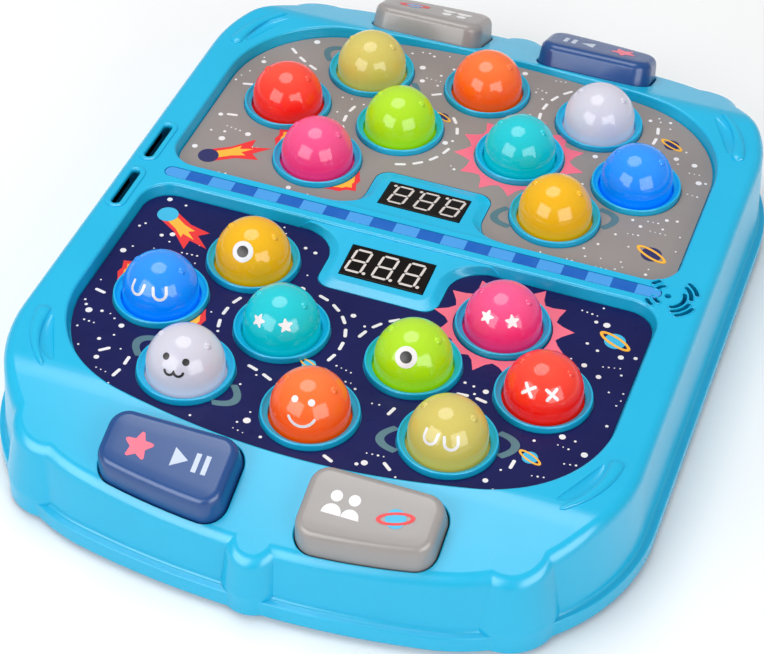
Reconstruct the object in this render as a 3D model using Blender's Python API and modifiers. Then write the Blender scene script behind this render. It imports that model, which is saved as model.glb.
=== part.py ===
# Electronic bubble pop game for two players: a moulded console with nine
# lit press bubbles, two push buttons and a score display at each end.
# Metres, +Z up, standing on z = 0 with its middle over the origin.
# x runs along the divider bar, y from the near player to the far player.

import math

import bmesh
import bpy
from mathutils import Matrix, Vector

# Fits between pieces
GAP = 0.0003
OVERRUN = 0.0020

# Heights above the table
FOOT_HEIGHT = 0.0015
FLANGE_HEIGHT = 0.0058
RIM_RISE = 0.0040

# Outline of the body in plan
END_RADIUS = 0.2700
CORNER_RADIUS = 0.0540
END_SLOPE_SHARE = 0.40
RIM_FILLET = 0.0036
WALL = 0.0024
WALL_DRAFT = 0.0021
WALL_FOOT_RISE = 0.0014
LEDGE_INSET = 0.0016
FLANGE_OUT = 0.0049
FLANGE_WALL = 0.0020
CORNER_EASE = 0.0048
LEDGE_FALL = 0.0004

# Half-round pillars on the ends
CORNER_LOBE_RADIUS = 0.0128
CORNER_LOBE_REACH = 0.0033
CORNER_LOBE_GROWTH = 0.0028
CORNER_LOBE_ANGLE = math.radians(55.0)
END_LOBE_RADIUS = 0.0084
END_LOBE_REACH = 0.0045
END_LOBE_GROWTH = 0.0016

# Sunk fields
CREASE_LAP = 0.0045
FIELD_CORNER_RADIUS = 0.0390
FIELD_END_RADIUS = 0.2700
FIELD_INNER_RADIUS = 0.0095
FIELD_DRAFT = 0.0012
BAR_HALF_WIDTH = 0.0065
PANEL_THICKNESS = 0.0005
DECK = 0.0018

# Divider inlay
STRIP_END_GAP = 0.0011
STRIP_HALF_WIDTH = 0.0023
STRIP_THICKNESS = 0.0006

# Bubbles and their collars
BUBBLE_RADIUS = 0.0120
BUBBLE_WALL = 0.0016
BUBBLE_CENTRE_RISE = 0.00345
BUBBLE_FLANGE = 0.0022
BUBBLE_FLANGE_THICKNESS = 0.0012
COLLAR_GAP = 0.0009
COLLAR_WIDTH = 0.0021
COLLAR_RISE = 0.0020
SIDE_COLLAR_GAP = 0.00889125
END_COLLAR_GAP = 0.003774
BUBBLE_STEPS = 12
COLLAR_STEPS = 16

# Places on one field, as shares of its half width and of its reach from the bar's middle,
# seen by the player who sits at that field.
BUBBLE_SHARES = (
    ("yellow", -0.483, 0.270),
    ("pink", 0.483, 0.270),
    ("blue", -0.723, 0.514),
    ("red", 0.723, 0.514),
    ("teal", -0.2486, 0.5224),
    ("lime", 0.2486, 0.5224),
    ("white", -0.4828, 0.783),
    ("olive", 0.4828, 0.783),
    ("orange", 0.0, 0.820),
)

# Display platforms
PLATFORM_HALF_FOOT = 0.0340
PLATFORM_HALF_SIDE = 0.0200
PLATFORM_FLARE_END = 0.0180
PLATFORM_END = 0.0308
PLATFORM_CORNER = 0.0050
PLATFORM_SLOPE_WIDTH = 0.0034
PLATFORM_TILT_SHARE = 0.096
DISPLAY_HALF_WIDTH = 0.0139
DISPLAY_HALF_DEPTH = 0.00665
DISPLAY_PLACE = 0.0180
DISPLAY_RISE = 0.0019
DISPLAY_THICKNESS = 0.0062
DISPLAY_PROUD = 0.0003
DISPLAY_HEADER = 0.0012

# Push buttons on the sloped ends, measured along the slope
BUTTON_MIDDLE_RIM = 0.0107
BUTTON_BACK_RIM = 0.0073
BUTTON_FRONT_RIM = 0.00473868
BUTTON_HALF_WIDTH = 0.0206
BUTTON_HALF_DEPTH = 0.0120
BUTTON_CORNER = 0.0064
BUTTON_PROUD = 0.0080
BUTTON_EDGE = 0.0022
BUTTON_DRAFT = 0.0004
BUTTON_LEAN = 0.0016
BUTTON_WALL = 0.0018
BUTTON_FLANGE_START = 0.0058
BUTTON_FLANGE = 0.0012
BUTTON_FLANGE_THICKNESS = 0.0012
BUTTON_TRAVEL = 0.0020
BUTTON_GAP = 0.0004
BUTTON_BOARD_HALF_DEPTH = 0.0070

# Strap slots in the left rim
SLOT_INNER_RIM = 0.00325
SLOT_OUTER_RIM = 0.0031
SLOT_NEAR_END = 0.0030
SLOT_LENGTH = 0.0200
SLOT_HALF_WIDTH = 0.0024
SLOT_BEZEL = 0.0011
SLOT_BEZEL_RISE = 0.0006

# Speaker and its grille in the right rim
SPEAKER_WALL_GAP = 0.0005
SPEAKER_RADIUS = 0.0100
SPEAKER_DEPTH = 0.0040
SPEAKER_MAGNET_RADIUS = 0.0060
SPEAKER_MAGNET_DEPTH = 0.0030
GRILLE_HOLE_RADIUS = 0.0011
GRILLE_SLOT_WIDTH = 0.0013
GRILLE_PITCH = 0.0028
# Ring number, first and last angle of each curved slot, in degrees.
GRILLE_SLOT_SHARES = (
    (1.9, -65.0, 25.0),
    (2.6, -66.0, -14.0), (2.6, 6.0, 50.0),
    (3.3, -60.0, -22.0), (3.3, 22.0, 56.0),
    (1.6, 120.0, 152.0), (1.6, 208.0, 240.0),
    (2.5, 126.0, 144.0), (2.5, 216.0, 234.0),
)

# Raised grips on the corners
GRIP_HEAD_SIDE_INSET = 0.0086
GRIP_HEAD_END_INSET = 0.0586
GRIP_TIP_SIDE_INSET = 0.0186
GRIP_TIP_END_INSET = 0.0351
GRIP_HEAD_RADIUS = 0.0024
GRIP_TIP_RADIUS = 0.0006
GRIP_RISE = 0.0012

# Electronics
BOARD_THICKNESS = 0.0016
BOARD_SIDE_INSET = 0.00775
BOARD_BAR_GAP = 0.0025
BOARD_END_INSET = 0.0051
BAY_BOARD_GAP = 0.0008
BOARD_DROP = 0.0072
POST_INSET = 0.0040
POST_RADIUS = 0.0024
STAKE_RADIUS = 0.0011
LED_RADIUS = 0.0025
LED_HEIGHT = 0.0036
MAT_THICKNESS = 0.0008
MAT_INSET = 0.0006
MAT_CORNER = 0.0110
MAT_NOTCH = 0.0012
BELL_WALL = 0.0014
BELL_STEPS = 8
SMALL_STEPS = 8
HOLE_STEPS = 6

# Base cover
BASE_RECESS = 0.0005
BASE_THICKNESS = 0.0020
FOOT_RADIUS = 0.0050
FOOT_SEAT = 0.0007
FOOT_SIDE_INSET = 0.0206
FOOT_END_INSET = 0.0476

# Cells, their bay and its cover
CELL_RADIUS = 0.00705
CELL_LENGTH = 0.0490
CELL_NUB_RADIUS = 0.00275
CELL_NUB_LENGTH = 0.0010
CELL_GAP = 0.0009
CELL_COUNT = 3
CONTACT_THICKNESS = 0.0005
CONTACT_BUMP_RADIUS = 0.0030
CONTACT_BUMP_LENGTH = 0.0025
BAY_WALL = 0.0030
BAY_ROOF = 0.0012
COVER_THICKNESS = 0.0018
COVER_EDGE = 0.0016
COVER_TAB_LENGTH = 0.0100
COVER_TAB_HALF_WIDTH = 0.0060
COVER_RIB_HEIGHT = 0.0004

# Screws
SCREW_RADIUS = 0.0013
SCREW_HEAD_RADIUS = 0.0026
SCREW_HEAD_HEIGHT = 0.0018
SCREW_BOSS_RADIUS = 0.0044
SCREW_SEAT_HEIGHT = 0.0100
BOSS_SPLIT_HEIGHT = 0.0140
SCREW_GRIP_LENGTH = 0.0100
BUTTON_BOSS_GAP = 0.0031
BOARD_BOSS_GAP = 0.0004
COVER_SCREW_LENGTH = 0.0060

# Power switch on the underside
SWITCH_COVER_GAP = 0.0158
SWITCH_KNOB_HALF_LENGTH = 0.0022
SWITCH_KNOB_HALF_WIDTH = 0.0018
SWITCH_KNOB_PROUD = 0.0009
SWITCH_PLATE_MARGIN = 0.0016
SWITCH_PLATE_THICKNESS = 0.0010
SWITCH_TRAVEL = 0.0040

# Colours of the mouldings
COLOURS = {
    "turquoise": "34C4EA",
    "navy": "20215F",
    "grey_print": "9C9492",
    "strip": "4A9FE8",
    "display": "17110F",
    "board": "2E6B45",
    "rubber": "2B2B2E",
    "silicone": "D8D6D0",
    "steel": "B8BBC0",
    "cell": "3C3F46",
    "speaker": "3A3A3C",
    "yellow": "EDB608",
    "pink": "F24A8E",
    "blue": "1E86F5",
    "red": "F2301C",
    "teal": "10C4C8",
    "lime": "A5E30B",
    "white": "D3D0DC",
    "olive": "CFC26A",
    "orange": "FA5A0A",
    "button_blue": "2F5591",
    "button_grey": "A5A09D",
}

# Heights that follow from the sizes above, from the table up
SKIRT_Z = FOOT_HEIGHT
LEDGE_Z = SKIRT_Z + FLANGE_HEIGHT
BASE_Z = SKIRT_Z + BASE_RECESS
BASE_TOP_Z = BASE_Z + BASE_THICKNESS
SHOULDER_Z = BASE_TOP_Z + GAP
CELL_FLOOR_Z = BASE_Z + COVER_THICKNESS + COVER_RIB_HEIGHT + GAP
CELL_Z = CELL_FLOOR_Z + CELL_RADIUS
BAY_TOP_Z = CELL_Z + CELL_RADIUS + GAP
BOARD_Z = BAY_TOP_Z + BAY_ROOF + BAY_BOARD_GAP
BOARD_TOP_Z = BOARD_Z + BOARD_THICKNESS
MAT_Z = BOARD_TOP_Z + GAP
CEILING_Z = BOARD_TOP_Z + BOARD_DROP
FLANGE_TOP_Z = CEILING_Z - GAP
FLANGE_LOW_Z = FLANGE_TOP_Z - BUBBLE_FLANGE_THICKNESS
FLOOR_Z = CEILING_Z + DECK
PANEL_HEIGHT = FLOOR_Z + GAP + PANEL_THICKNESS
RIM_Z = PANEL_HEIGHT + RIM_RISE

# Fields, as wide and as long as their outermost collars ask for
BORE_RADIUS = BUBBLE_RADIUS + COLLAR_GAP
COLLAR_RADIUS = BORE_RADIUS + COLLAR_WIDTH
OUTER_COLUMN_SHARE = max(x_share for _, x_share, _ in BUBBLE_SHARES)
LAST_ROW_SHARE = max(y_share for _, _, y_share in BUBBLE_SHARES)
FIELD_HALF_WIDTH = (COLLAR_RADIUS + SIDE_COLLAR_GAP) / (1 - OUTER_COLUMN_SHARE)
FIELD_REACH = (COLLAR_RADIUS + END_COLLAR_GAP) / (1 - LAST_ROW_SHARE)

# Sloped ends, which hold the buttons, and side rims, which hold the strap slots
END_ANGLE = math.atan(END_SLOPE_SHARE)
BUTTON_PLACE_X = BUTTON_MIDDLE_RIM + BUTTON_HALF_WIDTH
BUTTON_PLACE_Y = BUTTON_BACK_RIM + BUTTON_HALF_DEPTH
CREASE_Y = FIELD_REACH - CREASE_LAP
BUTTON_END = (BUTTON_PLACE_Y + BUTTON_HALF_DEPTH) * math.cos(END_ANGLE)
HALF_LENGTH = CREASE_Y + BUTTON_END + BUTTON_FRONT_RIM
SLOT_PLACE_X = FIELD_HALF_WIDTH + SLOT_INNER_RIM + SLOT_BEZEL + SLOT_HALF_WIDTH
HALF_WIDTH = SLOT_PLACE_X + SLOT_HALF_WIDTH + SLOT_BEZEL + SLOT_OUTER_RIM
SPEAKER_PLACE_X = HALF_WIDTH - WALL - SPEAKER_WALL_GAP - SPEAKER_RADIUS
STRIP_HALF_LENGTH = SPEAKER_PLACE_X - GRILLE_HOLE_RADIUS - STRIP_END_GAP
GRIP_HEAD_X = HALF_WIDTH - GRIP_HEAD_SIDE_INSET
GRIP_HEAD_Y = HALF_LENGTH - GRIP_HEAD_END_INSET
GRIP_TIP_X = HALF_WIDTH - GRIP_TIP_SIDE_INSET
GRIP_TIP_Y = HALF_LENGTH - GRIP_TIP_END_INSET
FOOT_PLACE_X = HALF_WIDTH - FOOT_SIDE_INSET
FOOT_PLACE_Y = HALF_LENGTH - FOOT_END_INSET
SKIRT_INNER_OUT = FLANGE_OUT - FLANGE_WALL

# Under the sloped ends, down from their outer face
PLATE_THICKNESS = WALL
BUTTON_UNDER = PLATE_THICKNESS * math.cos(END_ANGLE)
BUTTON_FLANGE_TOP = -BUTTON_UNDER - GAP
BUTTON_LOW = BUTTON_FLANGE_TOP - BUTTON_FLANGE_THICKNESS
BUTTON_BELL_TOP = BUTTON_LOW - GAP
BUTTON_BELL_HEIGHT = BUTTON_TRAVEL * 1.6
BUTTON_MAT_TOP = BUTTON_BELL_TOP - BUTTON_BELL_HEIGHT
BUTTON_BOARD_TOP = BUTTON_MAT_TOP - MAT_THICKNESS - GAP
BUTTON_BOARD_LOW = BUTTON_BOARD_TOP - BOARD_THICKNESS
BUTTON_POST_X = BUTTON_PLACE_X + BUTTON_HALF_WIDTH + BUTTON_FLANGE + POST_RADIUS + 2 * GAP
BUTTON_BOARD_HALF_WIDTH = BUTTON_POST_X + POST_RADIUS

# Boards, cells and their bay
BOARD_HALF_WIDTH = FIELD_HALF_WIDTH - BOARD_SIDE_INSET
BOARD_NEAR_EDGE = BAR_HALF_WIDTH + BOARD_BAR_GAP
BOARD_FAR_EDGE = FIELD_REACH - BOARD_END_INSET
CORNER_SCREW_X = BUTTON_BOARD_HALF_WIDTH + BUTTON_BOSS_GAP + SCREW_BOSS_RADIUS
CORNER_SCREW_Y = BOARD_FAR_EDGE + BOARD_BOSS_GAP + SCREW_BOSS_RADIUS
CELL_PITCH = CELL_RADIUS * 2 + CELL_GAP
BAY_HALF_LENGTH = (
    (CELL_LENGTH + CELL_NUB_LENGTH) / 2 + GAP + CONTACT_BUMP_LENGTH + CONTACT_THICKNESS + GAP
)
BAY_HALF_WIDTH = CELL_PITCH * (CELL_COUNT - 1) / 2 + CELL_RADIUS + GAP
COVER_END = BAY_HALF_LENGTH + COVER_EDGE + COVER_TAB_LENGTH
SWITCH_PLACE_X = COVER_END + SWITCH_COVER_GAP

SCENE = bpy.context.scene


# Start from an empty scene.
for old in list(bpy.data.objects):
    bpy.data.objects.remove(old, do_unlink=True)


def add_collection(name, parent):
    group = bpy.data.collections.new(name)
    parent.children.link(group)
    return group


PARTS = add_collection("electronic_bubble_pop_game", SCENE.collection)
CUTTERS = add_collection("cutters", SCENE.collection)


def linear(channel):
    if channel <= 0.04045:
        return channel / 12.92
    return ((channel + 0.055) / 1.055) ** 2.4


def moulding(name, colour, roughness, metallic=0.0):
    # Principled material with the piece's own colour.
    code = COLOURS[colour]
    rgb = [linear(int(code[i:i + 2], 16) / 255) for i in (0, 2, 4)]
    material = bpy.data.materials.new(name)
    material.use_nodes = True
    shader = material.node_tree.nodes["Principled BSDF"]
    shader.inputs["Base Color"].default_value = (*rgb, 1.0)
    shader.inputs["Roughness"].default_value = roughness
    shader.inputs["Metallic"].default_value = metallic
    material.diffuse_color = (*rgb, 1.0)
    return material


def object_from(bm, name, group):
    mesh = bpy.data.meshes.new(name)
    bm.to_mesh(mesh)
    bm.free()
    piece = bpy.data.objects.new(name, mesh)
    group.objects.link(piece)
    return piece


def part_from(bm, name, colour, roughness=0.35, metallic=0.0):
    piece = object_from(bm, name, PARTS)
    dress(piece, colour, roughness, metallic)
    return piece


def dress(piece, colour, roughness=0.35, metallic=0.0):
    piece.data.materials.append(moulding(piece.name, colour, roughness, metallic))
    piece.data.shade_smooth()
    piece.data.set_sharp_from_angle(angle=math.radians(35.0))


def tool_from(bm, name, group):
    # A cutting or joining guide, not a piece of the object.
    piece = object_from(bm, name, group)
    piece.hide_render = True
    piece.display_type = "WIRE"
    return piece


def place(piece, position, parent=None, turn=None):
    piece.location = position
    if turn is not None:
        piece.rotation_euler = turn
    if parent is not None:
        piece.parent = parent
    return piece


def boolean(piece, group, operation):
    cut = piece.modifiers.new(group.name, "BOOLEAN")
    cut.operation = operation
    cut.solver = "EXACT"
    cut.operand_type = "COLLECTION"
    cut.collection = group


def loft(loops, caps=None):
    # Closed mesh through loops with equal point counts. caps lists the index
    # runs that fill the two end loops, so that each filling face is flat.
    bm = bmesh.new()
    rings = [[bm.verts.new(point) for point in loop] for loop in loops]
    count = len(rings[0])
    for lower, upper in zip(rings, rings[1:]):
        for i in range(count):
            j = (i + 1) % count
            bm.faces.new((lower[i], lower[j], upper[j], upper[i]))
    for ring in (rings[0], rings[-1]):
        for run in caps or [range(count)]:
            bm.faces.new([ring[i] for i in run])
    bmesh.ops.recalc_face_normals(bm, faces=bm.faces)
    return bm


def prism(outline, low, high):
    return loft([[Vector((x, y, z)) for x, y in outline] for z in (low, high)])


def box(half_x, half_y, low, high):
    # A block centred on z, standing from low to high.
    bm = bmesh.new()
    bmesh.ops.create_cube(bm, size=1.0)
    bmesh.ops.scale(bm, vec=(2 * half_x, 2 * half_y, high - low), verts=bm.verts)
    bmesh.ops.translate(bm, vec=(0, 0, (low + high) / 2), verts=bm.verts)
    return bm


def drum(radius, low, high, steps=SMALL_STEPS):
    bm = bmesh.new()
    bmesh.ops.create_cone(
        bm, cap_ends=True, segments=steps, radius1=radius, radius2=radius, depth=high - low
    )
    bmesh.ops.translate(bm, vec=(0, 0, (low + high) / 2), verts=bm.verts)
    return bm


def turned(profile, steps, name, group, closed=False):
    # A profile of (radius, height) points turned round z. It runs down its outer side.
    bm = bmesh.new()
    points = [bm.verts.new((radius, 0, height)) for radius, height in profile]
    for a, b in zip(points, points[1:]):
        bm.edges.new((a, b))
    if closed:
        bm.edges.new((points[-1], points[0]))
    piece = object_from(bm, name, group)
    screw = piece.modifiers.new("turn", "SCREW")
    screw.axis = "Z"
    screw.angle = math.tau
    screw.steps = steps
    screw.render_steps = steps
    screw.use_merge_vertices = True
    screw.merge_threshold = 0.00005
    return piece


def arc(centre, radius, first, last, steps):
    # Points from the first angle to the last, both included.
    return [
        (
            centre[0] + radius * math.cos(first + (last - first) * i / steps),
            centre[1] + radius * math.sin(first + (last - first) * i / steps),
        )
        for i in range(steps + 1)
    ]


def mirrored_half(right):
    # Right half of an outline, bottom to top, with its mirror image.
    left = [(-x, y) for x, y in reversed(right) if abs(x) > GAP]
    return right + left


def turned_half(outline):
    return [(-x, -y) for x, y in outline]


def rounded(corners, steps):
    # Outline through (x, y, radius) corners, each turned by an arc.
    points = []
    count = len(corners)
    for i in range(count):
        here = Vector(corners[i][:2])
        radius = corners[i][2]
        if radius <= 0:
            points.append(tuple(here))
            continue
        back = (Vector(corners[i - 1][:2]) - here).normalized()
        ahead = (Vector(corners[(i + 1) % count][:2]) - here).normalized()
        half = back.angle(ahead) / 2
        centre = here + (back + ahead).normalized() * radius / math.sin(half)
        start = here + back * radius / math.tan(half) - centre
        sweep = math.pi - 2 * half
        if back.cross(ahead) > 0:
            sweep = -sweep
        for k in range(steps + 1):
            points.append(tuple(centre + Matrix.Rotation(sweep * k / steps, 2) @ start))
    return points


def rim_height(y):
    # Top of the rim: level over the fields, sloping down to each player.
    return RIM_Z - END_SLOPE_SHARE * max(0.0, abs(y) - CREASE_Y)


# Point counts along one quarter of the body's outline
SIDE_STEPS = 3
SHOULDER_STEPS = 2
CORNER_LOBE_STEPS = 4
FLANK_STEPS = 1
END_STEPS = 3
END_LOBE_STEPS = 3


def body_outline(offset, crease=CREASE_Y, lobe_growth_share=1.0, lobe_offset=0.0, plain=None):
    # Plan outline of the body moved out by offset. One point of each quarter lies
    # exactly on the crease, where the rim starts to slope. With plain set, every
    # point is pulled in to that offset, so the pillars vanish.
    radius, corner, joint = corner_circle(offset)
    big = END_RADIUS + offset
    end = (0, HALF_LENGTH - END_RADIUS)
    pull = 0.0 if plain is None else offset - plain
    crease_angle = math.asin((crease - corner[1]) / (radius - pull))
    angles, reaches = [], []
    for i in range(SIDE_STEPS + 1):
        angles.append(crease_angle * i / SIDE_STEPS)
        reaches.append(radius)
    rim_corner = corner_circle(0.0)[1]
    reach =CORNER_RADIUS + CORNER_LOBE_REACH - CORNER_LOBE_RADIUS
    middle_x = rim_corner[0] + reach * math.cos(CORNER_LOBE_ANGLE) - corner[0]
    middle_y = rim_corner[1] + reach * math.sin(CORNER_LOBE_ANGLE) - corner[1]
    lobe = CORNER_LOBE_RADIUS + CORNER_LOBE_GROWTH * lobe_growth_share + lobe_offset
    points = lobe_points(radius, math.hypot(middle_x, middle_y), lobe, CORNER_LOBE_STEPS)
    middle = math.atan2(middle_y, middle_x)
    points = [(middle + turn, reach) for turn, reach in points]
    for i in range(1, SHOULDER_STEPS):
        angles.append(crease_angle + (points[0][0] - crease_angle) * i / SHOULDER_STEPS)
        reaches.append(radius)
    angles += [turn for turn, reach in points]
    reaches += [reach for turn, reach in points]
    for i in range(1, FLANK_STEPS + 1):
        angles.append(points[-1][0] + (joint - points[-1][0]) * i / FLANK_STEPS)
        reaches.append(radius)
    quarter = polar(corner, angles, reaches, None if plain is None else radius - pull)
    lobe = END_LOBE_RADIUS + END_LOBE_GROWTH * lobe_growth_share + lobe_offset
    reach = END_RADIUS + END_LOBE_REACH - END_LOBE_RADIUS
    points = lobe_points(big, reach, lobe, 2 * END_LOBE_STEPS)[:END_LOBE_STEPS + 1]
    points = [(math.pi / 2 + turn, reach) for turn, reach in points]
    angles = [joint + (points[0][0] - joint) * i / END_STEPS for i in range(1, END_STEPS)]
    reaches = [big for turn in angles] + [reach for turn, reach in points]
    angles += [turn for turn, reach in points]
    quarter += polar(end, angles, reaches, None if plain is None else big - pull)
    half = quarter + [(-x, y) for x, y in reversed(quarter[:-1])]
    return half + turned_half(half)


def corner_circle(offset):
    # Radius and centre of the corner's circle, and the direction in which it meets
    # the long arc of the end. Below the rim the corners are eased.
    radius = CORNER_RADIUS + offset + CORNER_EASE * max(0.0, offset) / FLANGE_OUT
    x = HALF_WIDTH + offset - radius
    rise = math.sqrt((END_RADIUS + offset - radius) ** 2 - x ** 2)
    return radius, (x, HALF_LENGTH - END_RADIUS + rise), math.atan2(rise, x)


def lobe_points(radius, reach, lobe, steps):
    # A round pillar of radius lobe whose middle lies at reach on a circle of the
    # given radius: turns from the pillar's own direction, and reaches from the centre.
    spread = math.acos((radius ** 2 + reach ** 2 - lobe ** 2) / (2 * radius * reach))
    sweep = math.atan2(radius * math.sin(spread), radius * math.cos(spread) - reach)
    points = arc((reach, 0), lobe, -sweep, sweep, steps)
    return [(math.atan2(y, x), math.hypot(x, y)) for x, y in points]


def polar(centre, angles, reaches, fixed):
    return [
        (
            centre[0] + (fixed or reach) * math.cos(angle),
            centre[1] + (fixed or reach) * math.sin(angle),
        )
        for angle, reach in zip(angles, reaches)
    ]


def body_caps(count):
    # Index runs of the level middle and the two sloped ends.
    half = count // 2
    a = SIDE_STEPS
    b = half - 1 - SIDE_STEPS
    far = list(range(a, b + 1))
    near = [i + half for i in far]
    middle = list(range(b, half + a + 1)) + list(range(half + b, count)) + list(range(0, a + 1))
    return [far, near, middle]


def lift(outline, height):
    # Outline to 3-D points, at one height or at a height that follows y.
    if callable(height):
        return [Vector((x, y, height(y))) for x, y in outline]
    return [Vector((x, y, height)) for x, y in outline]


def field_outline(offset, side):
    # One sunk field, on the far side for 1 and on the near side for -1.
    corner_x = FIELD_HALF_WIDTH - FIELD_CORNER_RADIUS
    end = (0, FIELD_REACH - FIELD_END_RADIUS)
    rise = math.sqrt((FIELD_END_RADIUS - FIELD_CORNER_RADIUS) ** 2 - corner_x ** 2)
    joint = math.atan2(rise, corner_x)
    inner = (FIELD_HALF_WIDTH - FIELD_INNER_RADIUS, BAR_HALF_WIDTH + FIELD_INNER_RADIUS)
    right = arc(inner, FIELD_INNER_RADIUS + offset, -math.pi / 2, 0, 3)
    right += arc((corner_x, end[1] + rise), FIELD_CORNER_RADIUS + offset, 0, joint, 7)
    right += arc(end, FIELD_END_RADIUS + offset, joint, math.pi / 2, 3)[1:]
    outline = mirrored_half(right)
    return outline if side > 0 else turned_half(outline)


def platform_outline(inset, side, start=BAR_HALF_WIDTH - OVERRUN, grow=0.0):
    # Foot of a display platform, which flares out where it meets the bar.
    wide = PLATFORM_HALF_FOOT - inset + grow
    narrow = PLATFORM_HALF_SIDE - inset + grow
    far = PLATFORM_END - inset + grow
    flare = []
    for i in range(4):
        angle = math.pi / 2 * i / 3
        x = wide - (wide - narrow) * math.sin(angle)
        y = BAR_HALF_WIDTH + grow + (PLATFORM_FLARE_END - BAR_HALF_WIDTH) * (1 - math.cos(angle))
        flare.append((x, y))
    corner = PLATFORM_CORNER + grow
    turn = arc((narrow - corner, far - corner), corner, 0, math.pi / 2, 3)
    right = [(wide, start)] + flare + turn
    outline = right + [(-x, y) for x, y in reversed(right)]
    return outline if side > 0 else turned_half(outline)


def platform_height(y):
    return PANEL_HEIGHT + DISPLAY_RISE - PLATFORM_TILT_SHARE * (abs(y) - DISPLAY_PLACE)


def capsule(half_length, half_width, steps):
    # Long along x, with round ends.
    middle = half_length - half_width
    right = arc((middle, 0), half_width, -math.pi / 2, math.pi / 2, steps)
    return right + [(-x, -y) for x, y in right]


def field_places(shares, side):
    # Places given from the player's own side, far (1) or near (-1).
    # A player's left is +x at the far side and -x at the near side.
    return [
        (-x_share * FIELD_HALF_WIDTH * side, y_share * FIELD_REACH * side)
        for x_share, y_share in shares
    ]


SIDES = (("near", -1), ("far", 1))

# Guides that shape the upper shell
SHELL_POCKETS = add_collection("shell_pockets", CUTTERS)
SHELL_ADDED = add_collection("shell_added", CUTTERS)
SHELL_HOLES = add_collection("shell_holes", CUTTERS)


def end_frame(name, side):
    # Empty on the crease whose +Z is square to the sloped end and whose +Y runs down it.
    frame = bpy.data.objects.new(name, None)
    CUTTERS.objects.link(frame)
    turn = Matrix.Rotation(-END_ANGLE, 3, "X")
    if side < 0:
        turn = Matrix.Rotation(math.pi, 3, "Z") @ turn
    frame.location = (0, CREASE_Y * side, RIM_Z)
    frame.rotation_euler = turn.to_euler()
    return frame


END_FRAMES = {name: end_frame(name + "_end_frame", side) for name, side in SIDES}


def button_outline(offset, place_x, lean=0.0):
    # The side towards the player follows the curve of the body's end.
    half = BUTTON_HALF_WIDTH + offset
    depth = BUTTON_HALF_DEPTH + offset
    bend = END_RADIUS * math.cos(END_ANGLE)

    def outer(x):
        return depth - lean - ((place_x + x) ** 2 - place_x ** 2) / (2 * bend)

    radius = BUTTON_CORNER + offset
    corners = [(-half, -depth, radius), (half, -depth, radius), (half, outer(half), radius)]
    corners += [(half / 3, outer(half / 3), 0), (-half / 3, outer(-half / 3), 0)]
    corners += [(-half, outer(-half), radius)]
    return rounded(corners, 3)


def make_shell_body():
    # Outer skin from the rim down to the skirt, then the hollow inside it.
    loops = []
    for step in range(4):
        angle = math.pi / 2 * step / 3
        out = -RIM_FILLET * (1 - math.sin(angle))
        drop = RIM_FILLET * (1 - math.cos(angle))
        outline = body_outline(out, CREASE_Y, 0.0, out)
        loops.append(lift(outline, lambda y, drop=drop: rim_height(y) - drop))
    for out, height in (
        (WALL_DRAFT, LEDGE_Z + WALL_FOOT_RISE),
        (FLANGE_OUT - LEDGE_INSET, LEDGE_Z),
        (FLANGE_OUT, LEDGE_Z - LEDGE_FALL),
        (FLANGE_OUT, SKIRT_Z),
    ):
        loops.append(lift(body_outline(out), height))
    for out, height in (
        (SKIRT_INNER_OUT, SKIRT_Z),
        (SKIRT_INNER_OUT, SHOULDER_Z),
        (WALL_DRAFT - WALL, SHOULDER_Z),
    ):
        loops.append(lift(body_outline(FLANGE_OUT, plain=out), height))
    roof_crease = CREASE_Y + (RIM_Z - PLATE_THICKNESS - CEILING_Z) / END_SLOPE_SHARE

    def roof(y):
        return min(CEILING_Z, rim_height(y) - PLATE_THICKNESS)

    loops.append(lift(body_outline(FLANGE_OUT, roof_crease, plain=-WALL), roof))
    return loft(loops, body_caps(len(loops[0])))


def collar(name, position, group):
    # Round-topped ring that stands up out of the printed panel.
    top = PANEL_HEIGHT + COLLAR_RISE
    inner = BORE_RADIUS - COLLAR_GAP
    profile = (
        (inner, top - COLLAR_RISE / 2),
        (BORE_RADIUS + COLLAR_WIDTH / 2, top),
        (COLLAR_RADIUS, PANEL_HEIGHT),
        (COLLAR_RADIUS, FLOOR_Z - DECK / 2),
        (inner, FLOOR_Z - DECK / 2),
    )
    piece = turned(profile, COLLAR_STEPS, name, group, closed=True)
    piece.hide_render = True
    piece.display_type = "WIRE"
    return place(piece, position)


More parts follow.
